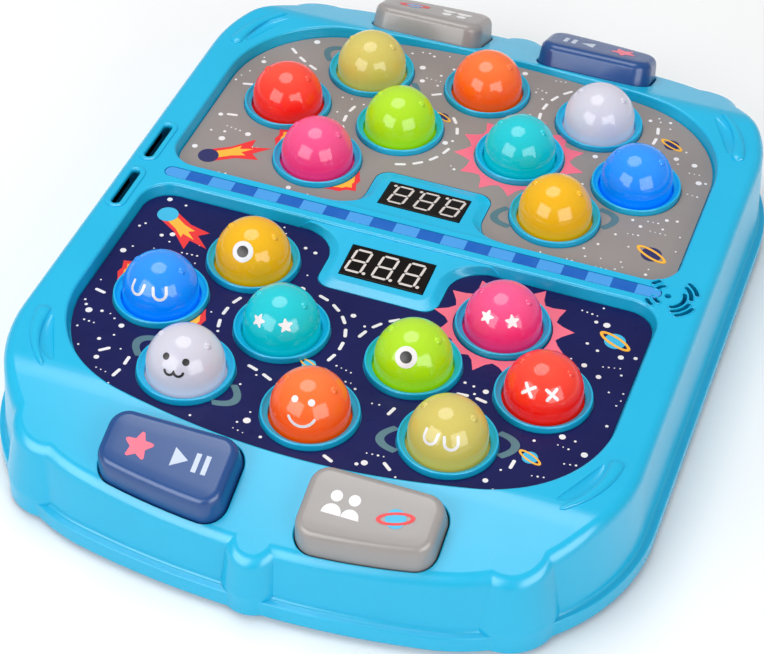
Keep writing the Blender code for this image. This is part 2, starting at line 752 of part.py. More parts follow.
def make_shell():
    shell = part_from(make_shell_body(), "upper_shell", "turquoise", 0.28)
    for name, side in SIDES:
        loops = [
            lift(field_outline(0.0, side), FLOOR_Z),
            lift(field_outline(FIELD_DRAFT, side), RIM_Z),
            lift(field_outline(FIELD_DRAFT, side), RIM_Z + OVERRUN),
        ]
        tool_from(loft(loops), name + "_field_pocket", SHELL_POCKETS)
        platform = [
            lift(platform_outline(0.0, side), FLOOR_Z - DECK / 2),
            lift(platform_outline(0.0, side), PANEL_HEIGHT + PANEL_THICKNESS),
            lift(platform_outline(PLATFORM_SLOPE_WIDTH, side), platform_height),
        ]
        tool_from(loft(platform), name + "_platform", SHELL_ADDED)
        window = box(
            DISPLAY_HALF_WIDTH + GAP, DISPLAY_HALF_DEPTH + GAP, -DISPLAY_THICKNESS - DECK, OVERRUN
        )
        hole = tool_from(window, name + "_display_window", SHELL_HOLES)
        place_display(hole, side)
        for number, (x, y) in enumerate(field_places([s[1:] for s in BUBBLE_SHARES], side)):
            tag = f"{name}_{BUBBLE_SHARES[number][0]}"
            collar(tag + "_collar", (x, y, 0), SHELL_ADDED)
            bore = drum(BORE_RADIUS, CEILING_Z - OVERRUN, RIM_Z, COLLAR_STEPS)
            place(tool_from(bore, tag + "_bore", SHELL_HOLES), (x, y, 0))
        for number, (x, y) in enumerate(post_places(side)):
            post = drum(POST_RADIUS, BOARD_TOP_Z + GAP, CEILING_Z + DECK / 2)
            place(tool_from(post, f"{name}_post_{number}", SHELL_ADDED), (x, y, 0))
            stake = drum(STAKE_RADIUS, BOARD_Z - GAP, CEILING_Z + DECK / 3, HOLE_STEPS)
            place(tool_from(stake, f"{name}_stake_{number}", SHELL_ADDED), (x, y, 0))
    shape_bosses()
    shape_ends()
    shape_rims()
    groove = prism(
        capsule(STRIP_HALF_LENGTH + GAP, STRIP_HALF_WIDTH + GAP, 4),
        RIM_Z - STRIP_THICKNESS - GAP,
        RIM_Z + OVERRUN,
    )
    tool_from(groove, "strip_groove", SHELL_HOLES)
    boolean(shell, SHELL_POCKETS, "DIFFERENCE")
    boolean(shell, SHELL_ADDED, "UNION")
    boolean(shell, SHELL_HOLES, "DIFFERENCE")
    return shell


def post_places(side):
    # Posts stand at the four corners of each board.
    x = BOARD_HALF_WIDTH - POST_INSET
    rows = (BOARD_NEAR_EDGE + POST_INSET, BOARD_FAR_EDGE - POST_INSET)
    return [(flip * x, row * side) for row in rows for flip in (-1, 1)]


def place_display(piece, side):
    # Displays lean towards the player who reads them.
    tilt = math.atan(PLATFORM_TILT_SHARE)
    turn = Matrix.Rotation(-tilt, 3, "X")
    if side < 0:
        turn = Matrix.Rotation(math.pi, 3, "Z") @ turn
    place(piece, (0, DISPLAY_PLACE * side, platform_height(DISPLAY_PLACE)), turn=turn.to_euler())


SCREW_PLACES = [
    (x, y)
    for y in (-CORNER_SCREW_Y, CORNER_SCREW_Y)
    for x in (-CORNER_SCREW_X, CORNER_SCREW_X)
]


def shape_bosses():
    # Screw bosses that hang from the roof, each with a blind pilot hole.
    for number, (x, y) in enumerate(SCREW_PLACES):
        boss = drum(SCREW_BOSS_RADIUS, BOSS_SPLIT_HEIGHT + GAP, CEILING_Z + DECK / 2)
        place(tool_from(boss, f"boss_{number}", SHELL_ADDED), (x, y, 0))
        pilot = drum(
            SCREW_RADIUS + GAP,
            BOSS_SPLIT_HEIGHT - GAP,
            BOSS_SPLIT_HEIGHT + SCREW_GRIP_LENGTH,
        )
        place(tool_from(pilot, f"pilot_{number}", SHELL_HOLES), (x, y, 0))


BUTTONS = (("blue", 1), ("grey", -1))


def shape_ends():
    # Button wells and the posts of the button boards.
    for name, side in SIDES:
        frame = END_FRAMES[name]
        for tag, hand in BUTTONS:
            x = BUTTON_PLACE_X * hand
            well = prism(button_outline(BUTTON_GAP, x), BUTTON_MAT_TOP, OVERRUN)
            spot = (x, BUTTON_PLACE_Y, 0)
            place(tool_from(well, f"{name}_{tag}_well", SHELL_HOLES), spot, frame)
            spot = (BUTTON_POST_X * hand, BUTTON_PLACE_Y, 0)
            post = drum(POST_RADIUS, BUTTON_BOARD_TOP + GAP, -BUTTON_UNDER / 2)
            place(tool_from(post, f"{name}_{tag}_post", SHELL_ADDED), spot, frame)
            stake = drum(STAKE_RADIUS, BUTTON_BOARD_LOW - GAP, -BUTTON_UNDER / 3, HOLE_STEPS)
            place(tool_from(stake, f"{name}_{tag}_stake", SHELL_ADDED), spot, frame)


def grip_outline(head_radius, tip_radius):
    # Teardrop along +x from a round head at the origin to a small tip.
    length = math.hypot(GRIP_TIP_X - GRIP_HEAD_X, GRIP_TIP_Y - GRIP_HEAD_Y)
    lean = math.acos((head_radius - tip_radius) / length)
    head = arc((0, 0), head_radius, lean, math.tau - lean, 4)
    tip = arc((length, 0), tip_radius, -lean, lean, 1)
    return head + tip


def shape_rims():
    # Corner grips, strap slots with their bezels, and the speaker grille.
    lean = math.atan2(GRIP_TIP_Y - GRIP_HEAD_Y, GRIP_TIP_X - GRIP_HEAD_X)
    for number, (flip_x, flip_y) in enumerate(((1, 1), (-1, 1), (-1, -1), (1, -1))):
        low = grip_outline(GRIP_HEAD_RADIUS, GRIP_TIP_RADIUS)
        high = grip_outline(GRIP_HEAD_RADIUS * 0.55, GRIP_TIP_RADIUS / 2)
        bm = loft([lift(low, -GRIP_RISE), lift(low, 0), lift(high, GRIP_RISE)])
        move = Matrix.Translation((GRIP_HEAD_X, GRIP_HEAD_Y, RIM_Z))
        bmesh.ops.transform(bm, matrix=move @ Matrix.Rotation(lean, 4, "Z"), verts=bm.verts)
        bmesh.ops.scale(bm, vec=(flip_x, flip_y, 1), verts=bm.verts)
        bmesh.ops.recalc_face_normals(bm, faces=bm.faces)
        tool_from(bm, f"grip_{number}", SHELL_ADDED)
    for name, side in SIDES:
        half = SLOT_LENGTH / 2
        middle = (-SLOT_PLACE_X, (SLOT_NEAR_END + half) * side, RIM_Z)
        turn = (0, 0, math.pi / 2)
        low = capsule(half + SLOT_BEZEL, SLOT_HALF_WIDTH + SLOT_BEZEL, 3)
        high = capsule(half + SLOT_BEZEL / 2, SLOT_HALF_WIDTH + SLOT_BEZEL / 2, 3)
        bezel = loft([lift(low, -SLOT_BEZEL_RISE), lift(low, 0), lift(high, SLOT_BEZEL_RISE)])
        place(tool_from(bezel, name + "_slot_bezel", SHELL_ADDED), middle, turn=turn)
        slot = prism(capsule(half, SLOT_HALF_WIDTH, 3), CEILING_Z - RIM_Z - OVERRUN, OVERRUN)
        place(tool_from(slot, name + "_slot", SHELL_HOLES), middle, turn=turn)
    low = CEILING_Z - OVERRUN
    high = RIM_Z + OVERRUN
    hole = drum(GRILLE_HOLE_RADIUS, low, high)
    place(tool_from(hole, "grille_hole", SHELL_HOLES), (SPEAKER_PLACE_X, 0, 0))
    for number, (ring, first, last) in enumerate(GRILLE_SLOT_SHARES):
        radius = GRILLE_PITCH * ring
        start = math.radians(first)
        finish = math.radians(last)
        half = GRILLE_SLOT_WIDTH / 2
        outline = arc((0, 0), radius + half, start, finish, 3)
        outline += arc((0, 0), radius - half, finish, start, 3)
        slot = tool_from(prism(outline, low, high), f"grille_slot_{number}", SHELL_HOLES)
        place(slot, (SPEAKER_PLACE_X, 0, 0))


def make_panels():
    # Thin printed sheets with a hole for each collar and a notch for the display.
    for name, side in SIDES:
        low = PANEL_HEIGHT - PANEL_THICKNESS
        sheet = prism(field_outline(-GAP, side), low, PANEL_HEIGHT)
        colour = "navy" if side < 0 else "grey_print"
        panel = part_from(sheet, name + "_field_panel", colour, 0.30)
        holes = add_collection(name + "_panel_holes", CUTTERS)
        for number, (x, y) in enumerate(field_places([s[1:] for s in BUBBLE_SHARES], side)):
            hole = drum(COLLAR_RADIUS + GAP, low - OVERRUN, PANEL_HEIGHT + OVERRUN, COLLAR_STEPS)
            place(tool_from(hole, f"{name}_panel_hole_{number}", holes), (x, y, 0))
        notch = prism(
            platform_outline(0.0, side, grow=GAP), low - OVERRUN, PANEL_HEIGHT + OVERRUN
        )
        tool_from(notch, name + "_panel_notch", holes)
        boolean(panel, holes, "DIFFERENCE")


def make_strip():
    outline = capsule(STRIP_HALF_LENGTH, STRIP_HALF_WIDTH, 4)
    part_from(prism(outline, RIM_Z - STRIP_THICKNESS, RIM_Z), "divider_strip", "strip", 0.3)


def make_displays():
    # Score modules with a row of pins at each long side, down to the board.
    for name, side in SIDES:
        body = box(
            DISPLAY_HALF_WIDTH, DISPLAY_HALF_DEPTH, DISPLAY_PROUD - DISPLAY_THICKNESS, DISPLAY_PROUD
        )
        display = part_from(body, name + "_display", "display", 0.2)
        place_display(display, side)
        pins = add_collection(name + "_display_pins", CUTTERS)
        reach = platform_height(DISPLAY_PLACE) - DISPLAY_THICKNESS + DISPLAY_HEADER
        for end in (-1, 1):
            row = box(
                DISPLAY_HALF_WIDTH - DISPLAY_HEADER,
                DISPLAY_HEADER / 2,
                BOARD_TOP_Z + GAP,
                reach,
            )
            middle = DISPLAY_PLACE * side + end * (DISPLAY_HALF_DEPTH - 2 * DISPLAY_HEADER)
            place(tool_from(row, f"{name}_pin_row_{end}", pins), (0, middle, 0))
        boolean(display, pins, "UNION")


def bubble_profile():
    # Hollow dome on a straight skirt, with the flange that keeps it under the deck.
    centre = PANEL_HEIGHT + BUBBLE_CENTRE_RISE
    rings = 4
    profile = []
    for i in range(rings + 1):
        angle = math.pi / 2 * i / rings
        profile.append((BUBBLE_RADIUS * math.sin(angle), centre + BUBBLE_RADIUS * math.cos(angle)))
    inner = BUBBLE_RADIUS - BUBBLE_WALL
    outer = BUBBLE_RADIUS + BUBBLE_FLANGE
    profile += [(BUBBLE_RADIUS, FLANGE_TOP_Z), (outer, FLANGE_TOP_Z), (outer, FLANGE_LOW_Z)]
    profile += [(inner, FLANGE_LOW_Z), (inner, centre), (0, centre + inner * 0.8)]
    return [(radius, height - centre) for radius, height in profile], centre


def make_bubbles():
    profile, centre = bubble_profile()
    for name, side in SIDES:
        for number, (x, y) in enumerate(field_places([s[1:] for s in BUBBLE_SHARES], side)):
            colour = BUBBLE_SHARES[number][0]
            bubble = turned(profile, BUBBLE_STEPS, f"{name}_bubble_{colour}", PARTS)
            dress(bubble, colour, 0.18)
            place(bubble, (x, y, centre))


def make_buttons():
    # Hollow caps with a plunger inside and a flange that catches under the plate.
    edge = BUTTON_EDGE * 0.3
    for name, side in SIDES:
        frame = END_FRAMES[name]
        for tag, hand in BUTTONS:
            x = BUTTON_PLACE_X * hand
            spot = (x, BUTTON_PLACE_Y, 0)
            levels = (
                (0.0, 0.0, BUTTON_LOW),
                (0.0, 0.0, 0.0),
                (-BUTTON_DRAFT, BUTTON_LEAN, BUTTON_PROUD - BUTTON_EDGE),
                (-BUTTON_DRAFT - edge, BUTTON_LEAN, BUTTON_PROUD - edge),
                (-BUTTON_DRAFT - BUTTON_EDGE, BUTTON_LEAN, BUTTON_PROUD),
            )
            loops = [lift(button_outline(out, x, lean), height) for out, lean, height in levels]
            button = part_from(loft(loops), f"{name}_button_{tag}", "button_" + tag, 0.3)
            place(button, spot, frame)
            flange = add_collection(f"{name}_{tag}_flange", CUTTERS)
            inside = add_collection(f"{name}_{tag}_inside", CUTTERS)
            plunger = add_collection(f"{name}_{tag}_plunger", CUTTERS)
            ledge = prism(flange_outline(x), BUTTON_LOW, BUTTON_FLANGE_TOP)
            place(tool_from(ledge, f"{name}_{tag}_ledge", flange), spot, frame)
            lean = BUTTON_LEAN
            room = prism(
                button_outline(-BUTTON_WALL - BUTTON_DRAFT, x, lean),
                BUTTON_LOW - OVERRUN,
                BUTTON_PROUD - BUTTON_EDGE,
            )
            place(tool_from(room, f"{name}_{tag}_hollow", inside), spot, frame)
            stem = drum(POST_RADIUS + BELL_WALL, BUTTON_LOW, BUTTON_PROUD - BUTTON_EDGE / 2)
            place(tool_from(stem, f"{name}_{tag}_stem", plunger), spot, frame)
            boolean(button, flange, "UNION")
            boolean(button, inside, "DIFFERENCE")
            boolean(button, plunger, "UNION")


def flange_outline(place_x):
    # Sides and front only, since the plate is thick behind the button.
    half = BUTTON_HALF_WIDTH + BUTTON_FLANGE
    low = -BUTTON_FLANGE_START
    bend = END_RADIUS * math.cos(END_ANGLE)
    corner = BUTTON_CORNER + BUTTON_FLANGE

    def outer(x):
        rise = ((place_x + x) ** 2 - place_x ** 2) / (2 * bend)
        return BUTTON_HALF_DEPTH + BUTTON_FLANGE - rise

    corners = [(-half, low, 0), (half, low, 0), (half, outer(half), corner)]
    corners += [(0, outer(0), 0), (-half, outer(-half), corner)]
    return rounded(corners, 3)


def make_boards():
    # Each field's board carries nine lamps and is staked to the shell's posts.
    half_depth = (BOARD_FAR_EDGE - BOARD_NEAR_EDGE) / 2
    for name, side in SIDES:
        plate = box(BOARD_HALF_WIDTH, half_depth, BOARD_Z, BOARD_TOP_Z)
        middle = (BOARD_NEAR_EDGE + half_depth) * side
        bmesh.ops.translate(plate, vec=(0, middle, 0), verts=plate.verts)
        board = part_from(plate, name + "_board", "board", 0.5)
        lamps = add_collection(name + "_lamps", CUTTERS)
        low = BOARD_TOP_Z - BOARD_THICKNESS / 2
        for number, (x, y) in enumerate(field_places([s[1:] for s in BUBBLE_SHARES], side)):
            lamp = drum(LED_RADIUS, low, BOARD_TOP_Z + LED_HEIGHT, HOLE_STEPS)
            place(tool_from(lamp, f"{name}_lamp_{number}", lamps), (x, y, 0))
        holes = add_collection(name + "_board_holes", CUTTERS)
        for number, (x, y) in enumerate(post_places(side)):
            hole = drum(STAKE_RADIUS + GAP, BOARD_Z - OVERRUN, BOARD_TOP_Z + OVERRUN, HOLE_STEPS)
            place(tool_from(hole, f"{name}_board_hole_{number}", holes), (x, y, 0))
        boolean(board, lamps, "UNION")
        boolean(board, holes, "DIFFERENCE")


def bell(name, group, inner, wall, low, high):
    # Soft ring that gives way when it is pressed and springs back.
    profile = (
        (inner, high),
        (inner + wall, high),
        (inner + wall * 1.3, low),
        (inner, low),
    )
    piece = turned(profile, BELL_STEPS, name, group, closed=True)
    piece.hide_render = True
    piece.display_type = "WIRE"
    return piece


def mat_outline(side):
    # Corners cut back round the posts, and a notch below the display.
    half = BOARD_HALF_WIDTH - MAT_INSET
    low = BOARD_NEAR_EDGE + MAT_INSET
    high = BOARD_FAR_EDGE - MAT_INSET
    notch = DISPLAY_HALF_WIDTH + MAT_NOTCH
    right = [(notch, DISPLAY_PLACE + DISPLAY_HALF_DEPTH + MAT_NOTCH), (notch, low)]
    right += [(half - MAT_CORNER, low), (half, low + MAT_CORNER)]
    right += [(half, high - MAT_CORNER), (half - MAT_CORNER, high)]
    outline = right + [(-x, y) for x, y in reversed(right)]
    return outline if side > 0 else turned_half(outline)


def make_key_mats():
    # One silicone mat on each board, with a sprung ring under every bubble.
    top = MAT_Z + MAT_THICKNESS
    inner = BUBBLE_RADIUS - BUBBLE_WALL + GAP
    for name, side in SIDES:
        mat = part_from(
            prism(mat_outline(side), MAT_Z, top), name + "_key_mat", "silicone", 0.6
        )
        bells = add_collection(name + "_bells", CUTTERS)
        holes = add_collection(name + "_mat_holes", CUTTERS)
        for number, (x, y) in enumerate(field_places([s[1:] for s in BUBBLE_SHARES], side)):
            tag = f"{name}_bell_{number}"
            low = top - MAT_THICKNESS / 2
            ring = bell(tag, bells, inner - BELL_WALL, BELL_WALL * 2, low, FLANGE_LOW_Z - GAP)
            place(ring, (x, y, 0))
            hole = drum(inner, MAT_Z - OVERRUN, FLANGE_LOW_Z, BELL_STEPS)
            place(tool_from(hole, f"{name}_mat_hole_{number}", holes), (x, y, 0))
        boolean(mat, bells, "UNION")
        boolean(mat, holes, "DIFFERENCE")


def make_button_boards():
    # A small board and mat under each pair of push buttons, square to the slope.
    for name, side in SIDES:
        frame = END_FRAMES[name]
        holes = add_collection(name + "_button_board_holes", CUTTERS)
        for hand in (-1, 1):
            hole = drum(
                STAKE_RADIUS + GAP,
                BUTTON_BOARD_LOW - OVERRUN,
                BUTTON_BOARD_TOP + OVERRUN,
                HOLE_STEPS,
            )
            spot = (BUTTON_POST_X * hand, BUTTON_PLACE_Y, 0)
            place(tool_from(hole, f"{name}_button_board_hole_{hand}", holes), spot, frame)
        plate = box(
            BUTTON_BOARD_HALF_WIDTH, BUTTON_BOARD_HALF_DEPTH, BUTTON_BOARD_LOW, BUTTON_BOARD_TOP
        )
        board = part_from(plate, name + "_button_board", "board", 0.5)
        place(board, (0, BUTTON_PLACE_Y, 0), frame)
        boolean(board, holes, "DIFFERENCE")
        half_width = BUTTON_POST_X - POST_RADIUS - GAP
        plate = box(
            half_width, BUTTON_BOARD_HALF_DEPTH, BUTTON_BOARD_TOP + GAP, BUTTON_MAT_TOP
        )
        mat = part_from(plate, name + "_button_mat", "silicone", 0.6)
        place(mat, (0, BUTTON_PLACE_Y, 0), frame)
        bells = add_collection(name + "_button_bells", CUTTERS)
        for tag, hand in BUTTONS:
            low = BUTTON_MAT_TOP - MAT_THICKNESS / 2
            title = f"{name}_button_bell_{tag}"
            ring = bell(title, bells, POST_RADIUS, BELL_WALL, low, BUTTON_BELL_TOP)
            place(ring, (BUTTON_PLACE_X * hand, BUTTON_PLACE_Y, 0), frame)
        boolean(mat, bells, "UNION")


def make_speaker():
    top = CEILING_Z - GAP
    low = top - SPEAKER_DEPTH
    back = low - SPEAKER_MAGNET_DEPTH
    rim = SPEAKER_RADIUS - WALL / 2
    cone = top - SPEAKER_DEPTH / 2
    profile = (
        (0, cone),
        (rim, top),
        (SPEAKER_RADIUS, top),
        (SPEAKER_RADIUS, low),
        (SPEAKER_MAGNET_RADIUS, low),
        (SPEAKER_MAGNET_RADIUS, back),
        (0, back),
    )
    speaker = turned(profile, 12, "speaker", PARTS)
    dress(speaker, "speaker", 0.5)
    place(speaker, (SPEAKER_PLACE_X, 0, 0))


def make_base():
    # Plate that closes the underside, with the cell bay standing up on it.
    outline = body_outline(FLANGE_OUT, plain=SKIRT_INNER_OUT - GAP)
    base = part_from(prism(outline, BASE_Z, BASE_TOP_Z), "base_cover", "turquoise", 0.4)
    added = add_collection("base_added", CUTTERS)
    holes = add_collection("base_holes", CUTTERS)
    bay = box(
        BAY_HALF_LENGTH + BAY_WALL, BAY_HALF_WIDTH + BAY_WALL, BASE_TOP_Z - GAP, BAY_TOP_Z + BAY_ROOF
    )
    tool_from(bay, "bay_block", added)
    room = box(BAY_HALF_LENGTH, BAY_HALF_WIDTH, BASE_Z - OVERRUN, BAY_TOP_Z)
    tool_from(room, "bay_room", holes)
    seat = COVER_THICKNESS + GAP
    recess = box(
        BAY_HALF_LENGTH + COVER_EDGE, BAY_HALF_WIDTH + COVER_EDGE, BASE_Z - OVERRUN, BASE_Z + seat
    )
    tool_from(recess, "cover_recess", holes)
    tab = box(
        COVER_TAB_LENGTH / 2, COVER_TAB_HALF_WIDTH, BASE_Z - OVERRUN, BASE_Z + seat
    )
    spot = (BAY_HALF_LENGTH + COVER_EDGE + COVER_TAB_LENGTH / 2 - GAP, 0, 0)
    place(tool_from(tab, "cover_tab_recess", holes), spot)
    screw_x = cover_screw_x()
    high = BASE_Z + seat + COVER_SCREW_LENGTH
    block = box(COVER_TAB_LENGTH / 2 + BAY_WALL, COVER_TAB_HALF_WIDTH + BAY_WALL, BASE_TOP_Z - GAP, high)
    place(tool_from(block, "cover_boss", added), spot)
    pilot = drum(SCREW_RADIUS + GAP, BASE_Z, high - BAY_ROOF)
    place(tool_from(pilot, "cover_pilot", holes), (screw_x, 0, 0))
    for number, (x, y) in enumerate(SCREW_PLACES):
        boss = drum(SCREW_BOSS_RADIUS, BASE_TOP_Z - GAP, BOSS_SPLIT_HEIGHT)
        place(tool_from(boss, f"base_boss_{number}", added), (x, y, 0))
        bore = drum(SCREW_HEAD_RADIUS + GAP, BASE_Z - OVERRUN, SCREW_SEAT_HEIGHT)
        place(tool_from(bore, f"base_bore_{number}", holes), (x, y, 0))
        hole = drum(SCREW_RADIUS + GAP, SCREW_SEAT_HEIGHT - GAP, BOSS_SPLIT_HEIGHT + OVERRUN)
        place(tool_from(hole, f"base_hole_{number}", holes), (x, y, 0))
    for number, (x, y) in enumerate(foot_places()):
        seat_cut = drum(FOOT_RADIUS + GAP, BASE_Z - OVERRUN, BASE_Z + FOOT_SEAT + GAP, 12)
        place(tool_from(seat_cut, f"foot_seat_{number}", holes), (x, y, 0))
    window = box(
        SWITCH_KNOB_HALF_LENGTH + SWITCH_TRAVEL / 2 + GAP,
        SWITCH_KNOB_HALF_WIDTH + GAP,
        BASE_Z - OVERRUN,
        BASE_TOP_Z + OVERRUN,
    )
    place(tool_from(window, "switch_window", holes), (SWITCH_PLACE_X, 0, 0))
    boolean(base, added, "UNION")
    boolean(base, holes, "DIFFERENCE")


def cover_screw_x():
    return BAY_HALF_LENGTH + COVER_EDGE + COVER_TAB_LENGTH / 2


def foot_places():
    return [(x, y) for y in (-FOOT_PLACE_Y, FOOT_PLACE_Y) for x in (-FOOT_PLACE_X, FOOT_PLACE_X)]


def make_feet():
    low_radius = FOOT_RADIUS - FOOT_SEAT
    for number, (x, y) in enumerate(foot_places(), 1):
        profile = (
            (0, BASE_Z + FOOT_SEAT),
            (FOOT_RADIUS, BASE_Z + FOOT_SEAT),
            (FOOT_RADIUS, FOOT_SEAT),
            (low_radius, 0),
            (0, 0),
        )
        foot = turned(profile, 12, f"foot_{number}", PARTS)
        dress(foot, "rubber", 0.8)
        place(foot, (x, y, 0))


def screw_profile(head_z, head_height, length):
    # Pan head below, shank pointing up.
    head_low = head_z - head_height
    return (
        (0, head_z + length),
        (SCREW_RADIUS, head_z + length - SCREW_RADIUS),
        (SCREW_RADIUS, head_z),
        (SCREW_HEAD_RADIUS, head_z),
        (SCREW_HEAD_RADIUS, head_low),
        (0, head_low),
    )


def make_screws():
    head_z = SCREW_SEAT_HEIGHT - GAP
    length = BOSS_SPLIT_HEIGHT + SCREW_GRIP_LENGTH - GAP - head_z
    for number, (x, y) in enumerate(SCREW_PLACES, 1):
        screw = turned(
            screw_profile(head_z, SCREW_HEAD_HEIGHT, length), SMALL_STEPS, f"case_screw_{number}", PARTS
        )
        dress(screw, "steel", 0.3, 1.0)
        place(screw, (x, y, 0))
    head_z = BASE_Z + COVER_THICKNESS * 2 / 3 - GAP
    screw = turned(
        screw_profile(head_z, COVER_THICKNESS * 2 / 3 - GAP, COVER_SCREW_LENGTH - GAP),
        SMALL_STEPS,
        "battery_cover_screw",
        PARTS,
    )
    dress(screw, "steel", 0.3, 1.0)
    place(screw, (cover_screw_x(), 0, 0))


def make_cells():
    # Three AA cells side by side, the middle one turned round.
    half = CELL_LENGTH / 2
    shift = CELL_NUB_LENGTH / 2
    profile = (
        (0, half + shift),
        (CELL_NUB_RADIUS, half + shift),
        (CELL_NUB_RADIUS, half - shift),
        (CELL_RADIUS, half - shift),
        (CELL_RADIUS, -half - shift),
        (0, -half - shift),
    )
    for number in range(CELL_COUNT):
        cell = turned(profile, 12, f"battery_{number + 1}", PARTS)
        dress(cell, "cell", 0.3, 0.4)
        way = 1 if number % 2 == 0 else -1
        y = CELL_PITCH * (number - (CELL_COUNT - 1) / 2)
        place(cell, (0, y, CELL_Z), turn=(0, way * math.pi / 2, 0))
    for name, side in (("left", -1), ("right", 1)):
        plate = box(
            CONTACT_THICKNESS / 2, BAY_HALF_WIDTH - GAP, CELL_FLOOR_Z, CELL_Z + CELL_RADIUS / 2
        )
        contact = part_from(plate, "battery_contact_" + name, "steel", 0.3, 1.0)
        x = side * (BAY_HALF_LENGTH - GAP - CONTACT_THICKNESS / 2)
        place(contact, (x, 0, 0))
        bumps = add_collection(name + "_contact_bumps", CUTTERS)
        for number in range(CELL_COUNT):
            bump = drum(CONTACT_BUMP_RADIUS, 0, CONTACT_BUMP_LENGTH + CONTACT_THICKNESS / 2, 8)
            y = CELL_PITCH * (number - (CELL_COUNT - 1) / 2)
            turn = (0, -side * math.pi / 2, 0)
            place(
                tool_from(bump, f"{name}_contact_bump_{number}", bumps), (x, y, CELL_Z), turn=turn
            )
        boolean(contact, bumps, "UNION")


def make_cover():
    half_x = BAY_HALF_LENGTH + COVER_EDGE - GAP
    half_y = BAY_HALF_WIDTH + COVER_EDGE - GAP
    cover = part_from(
        box(half_x, half_y, BASE_Z, BASE_Z + COVER_THICKNESS), "battery_cover", "turquoise", 0.4
    )
    added = add_collection("cover_added", CUTTERS)
    holes = add_collection("cover_holes", CUTTERS)
    tab = box(
        COVER_TAB_LENGTH / 2, COVER_TAB_HALF_WIDTH - GAP, BASE_Z, BASE_Z + COVER_THICKNESS
    )
    place(tool_from(tab, "cover_tab", added), (half_x + COVER_TAB_LENGTH / 2 - GAP, 0, 0))
    rib = box(
        BAY_HALF_LENGTH - GAP * 4,
        CELL_RADIUS / 3,
        BASE_Z + COVER_THICKNESS / 2,
        BASE_Z + COVER_THICKNESS + COVER_RIB_HEIGHT,
    )
    tool_from(rib, "cover_rib", added)
    hole = drum(SCREW_RADIUS + GAP, BASE_Z - OVERRUN, BASE_Z + COVER_THICKNESS + OVERRUN)
    place(tool_from(hole, "cover_hole", holes), (cover_screw_x(), 0, 0))
    sink = drum(SCREW_HEAD_RADIUS + GAP, BASE_Z - OVERRUN, BASE_Z + COVER_THICKNESS * 2 / 3)
    place(tool_from(sink, "cover_sink", holes), (cover_screw_x(), 0, 0))
    boolean(cover, added, "UNION")
    boolean(cover, holes, "DIFFERENCE")


def make_switch():
    # Slider plate inside the base, with its knob reaching down through the window.
    window_half = SWITCH_KNOB_HALF_LENGTH + SWITCH_TRAVEL / 2 + GAP
    plate = box(
        window_half + SWITCH_TRAVEL / 2 + SWITCH_PLATE_MARGIN,
        SWITCH_KNOB_HALF_WIDTH + SWITCH_PLATE_MARGIN,
        BASE_TOP_Z + GAP,
        BASE_TOP_Z + GAP + SWITCH_PLATE_THICKNESS,
    )
    switch = part_from(plate, "power_switch", "rubber", 0.5)
    place(switch, (SWITCH_PLACE_X - SWITCH_TRAVEL / 2, 0, 0))
    added = add_collection("switch_added", CUTTERS)
    knob = box(
        SWITCH_KNOB_HALF_LENGTH,
        SWITCH_KNOB_HALF_WIDTH,
        BASE_Z - SWITCH_KNOB_PROUD,
        BASE_TOP_Z + SWITCH_PLATE_THICKNESS,
    )
    place(tool_from(knob, "switch_knob", added), (SWITCH_PLACE_X - SWITCH_TRAVEL / 2, 0, 0))
    boolean(switch, added, "UNION")


make_shell()
make_panels()
make_strip()
make_displays()
make_bubbles()
make_buttons()
make_boards()
make_key_mats()
make_button_boards()
make_speaker()
make_base()
make_feet()
make_screws()
make_cells()
make_cover()
make_switch()
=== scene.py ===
import math
import random

import bmesh
import bpy
from mathutils import Matrix, Vector


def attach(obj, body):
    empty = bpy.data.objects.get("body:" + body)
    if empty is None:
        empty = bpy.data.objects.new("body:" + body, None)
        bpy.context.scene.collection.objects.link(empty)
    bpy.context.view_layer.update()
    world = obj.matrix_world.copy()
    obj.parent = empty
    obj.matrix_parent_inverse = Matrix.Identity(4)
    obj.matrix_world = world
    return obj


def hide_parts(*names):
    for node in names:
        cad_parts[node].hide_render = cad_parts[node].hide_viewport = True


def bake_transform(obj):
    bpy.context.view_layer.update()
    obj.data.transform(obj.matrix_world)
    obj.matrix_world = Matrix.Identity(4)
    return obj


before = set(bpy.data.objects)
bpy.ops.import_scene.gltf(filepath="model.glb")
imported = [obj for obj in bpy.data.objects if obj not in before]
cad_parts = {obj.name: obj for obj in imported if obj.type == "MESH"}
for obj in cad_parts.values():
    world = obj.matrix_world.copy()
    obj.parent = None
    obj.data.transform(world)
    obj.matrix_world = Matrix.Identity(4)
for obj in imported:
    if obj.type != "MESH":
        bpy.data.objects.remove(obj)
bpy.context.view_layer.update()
print("frame loaded:", len(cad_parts), "nodes")


def lengths(**sizes):
    # Sizes written in millimetres, kept in metres.
    return {key: value / 1000 for key, value in sizes.items()}


def toMetres(points):
    # Points written in millimetres.
    return [(across / 1000, height / 1000) for across, height in points]


# Nodes and materials

# Widths and depths of the patterns in the materials. Real mould grain and the streaks of drawn
# steel are too fine to show, so they are drawn about ten times as coarse, and very shallow.
pattern = lengths(
    blotch=30.0, sheen=4.0, wave=12.0, stripWear=6.0, stripGrain=0.6, stripDepth=0.003, domeCloud=8.0,
    domeSheen=3.0, domeGrain=0.8, domeDepth=0.003, domeWave=6.0, domeWaveDepth=0.01, lampReach=2.0,
    streak=0.8, steelGrain=0.4, steelDepth=0.004, trackPitch=5.26316, trackDepth=0.04, cellScuff=3.0,
    cellGrain=0.6, cellDepth=0.004, tableBlotch=400.0,
)
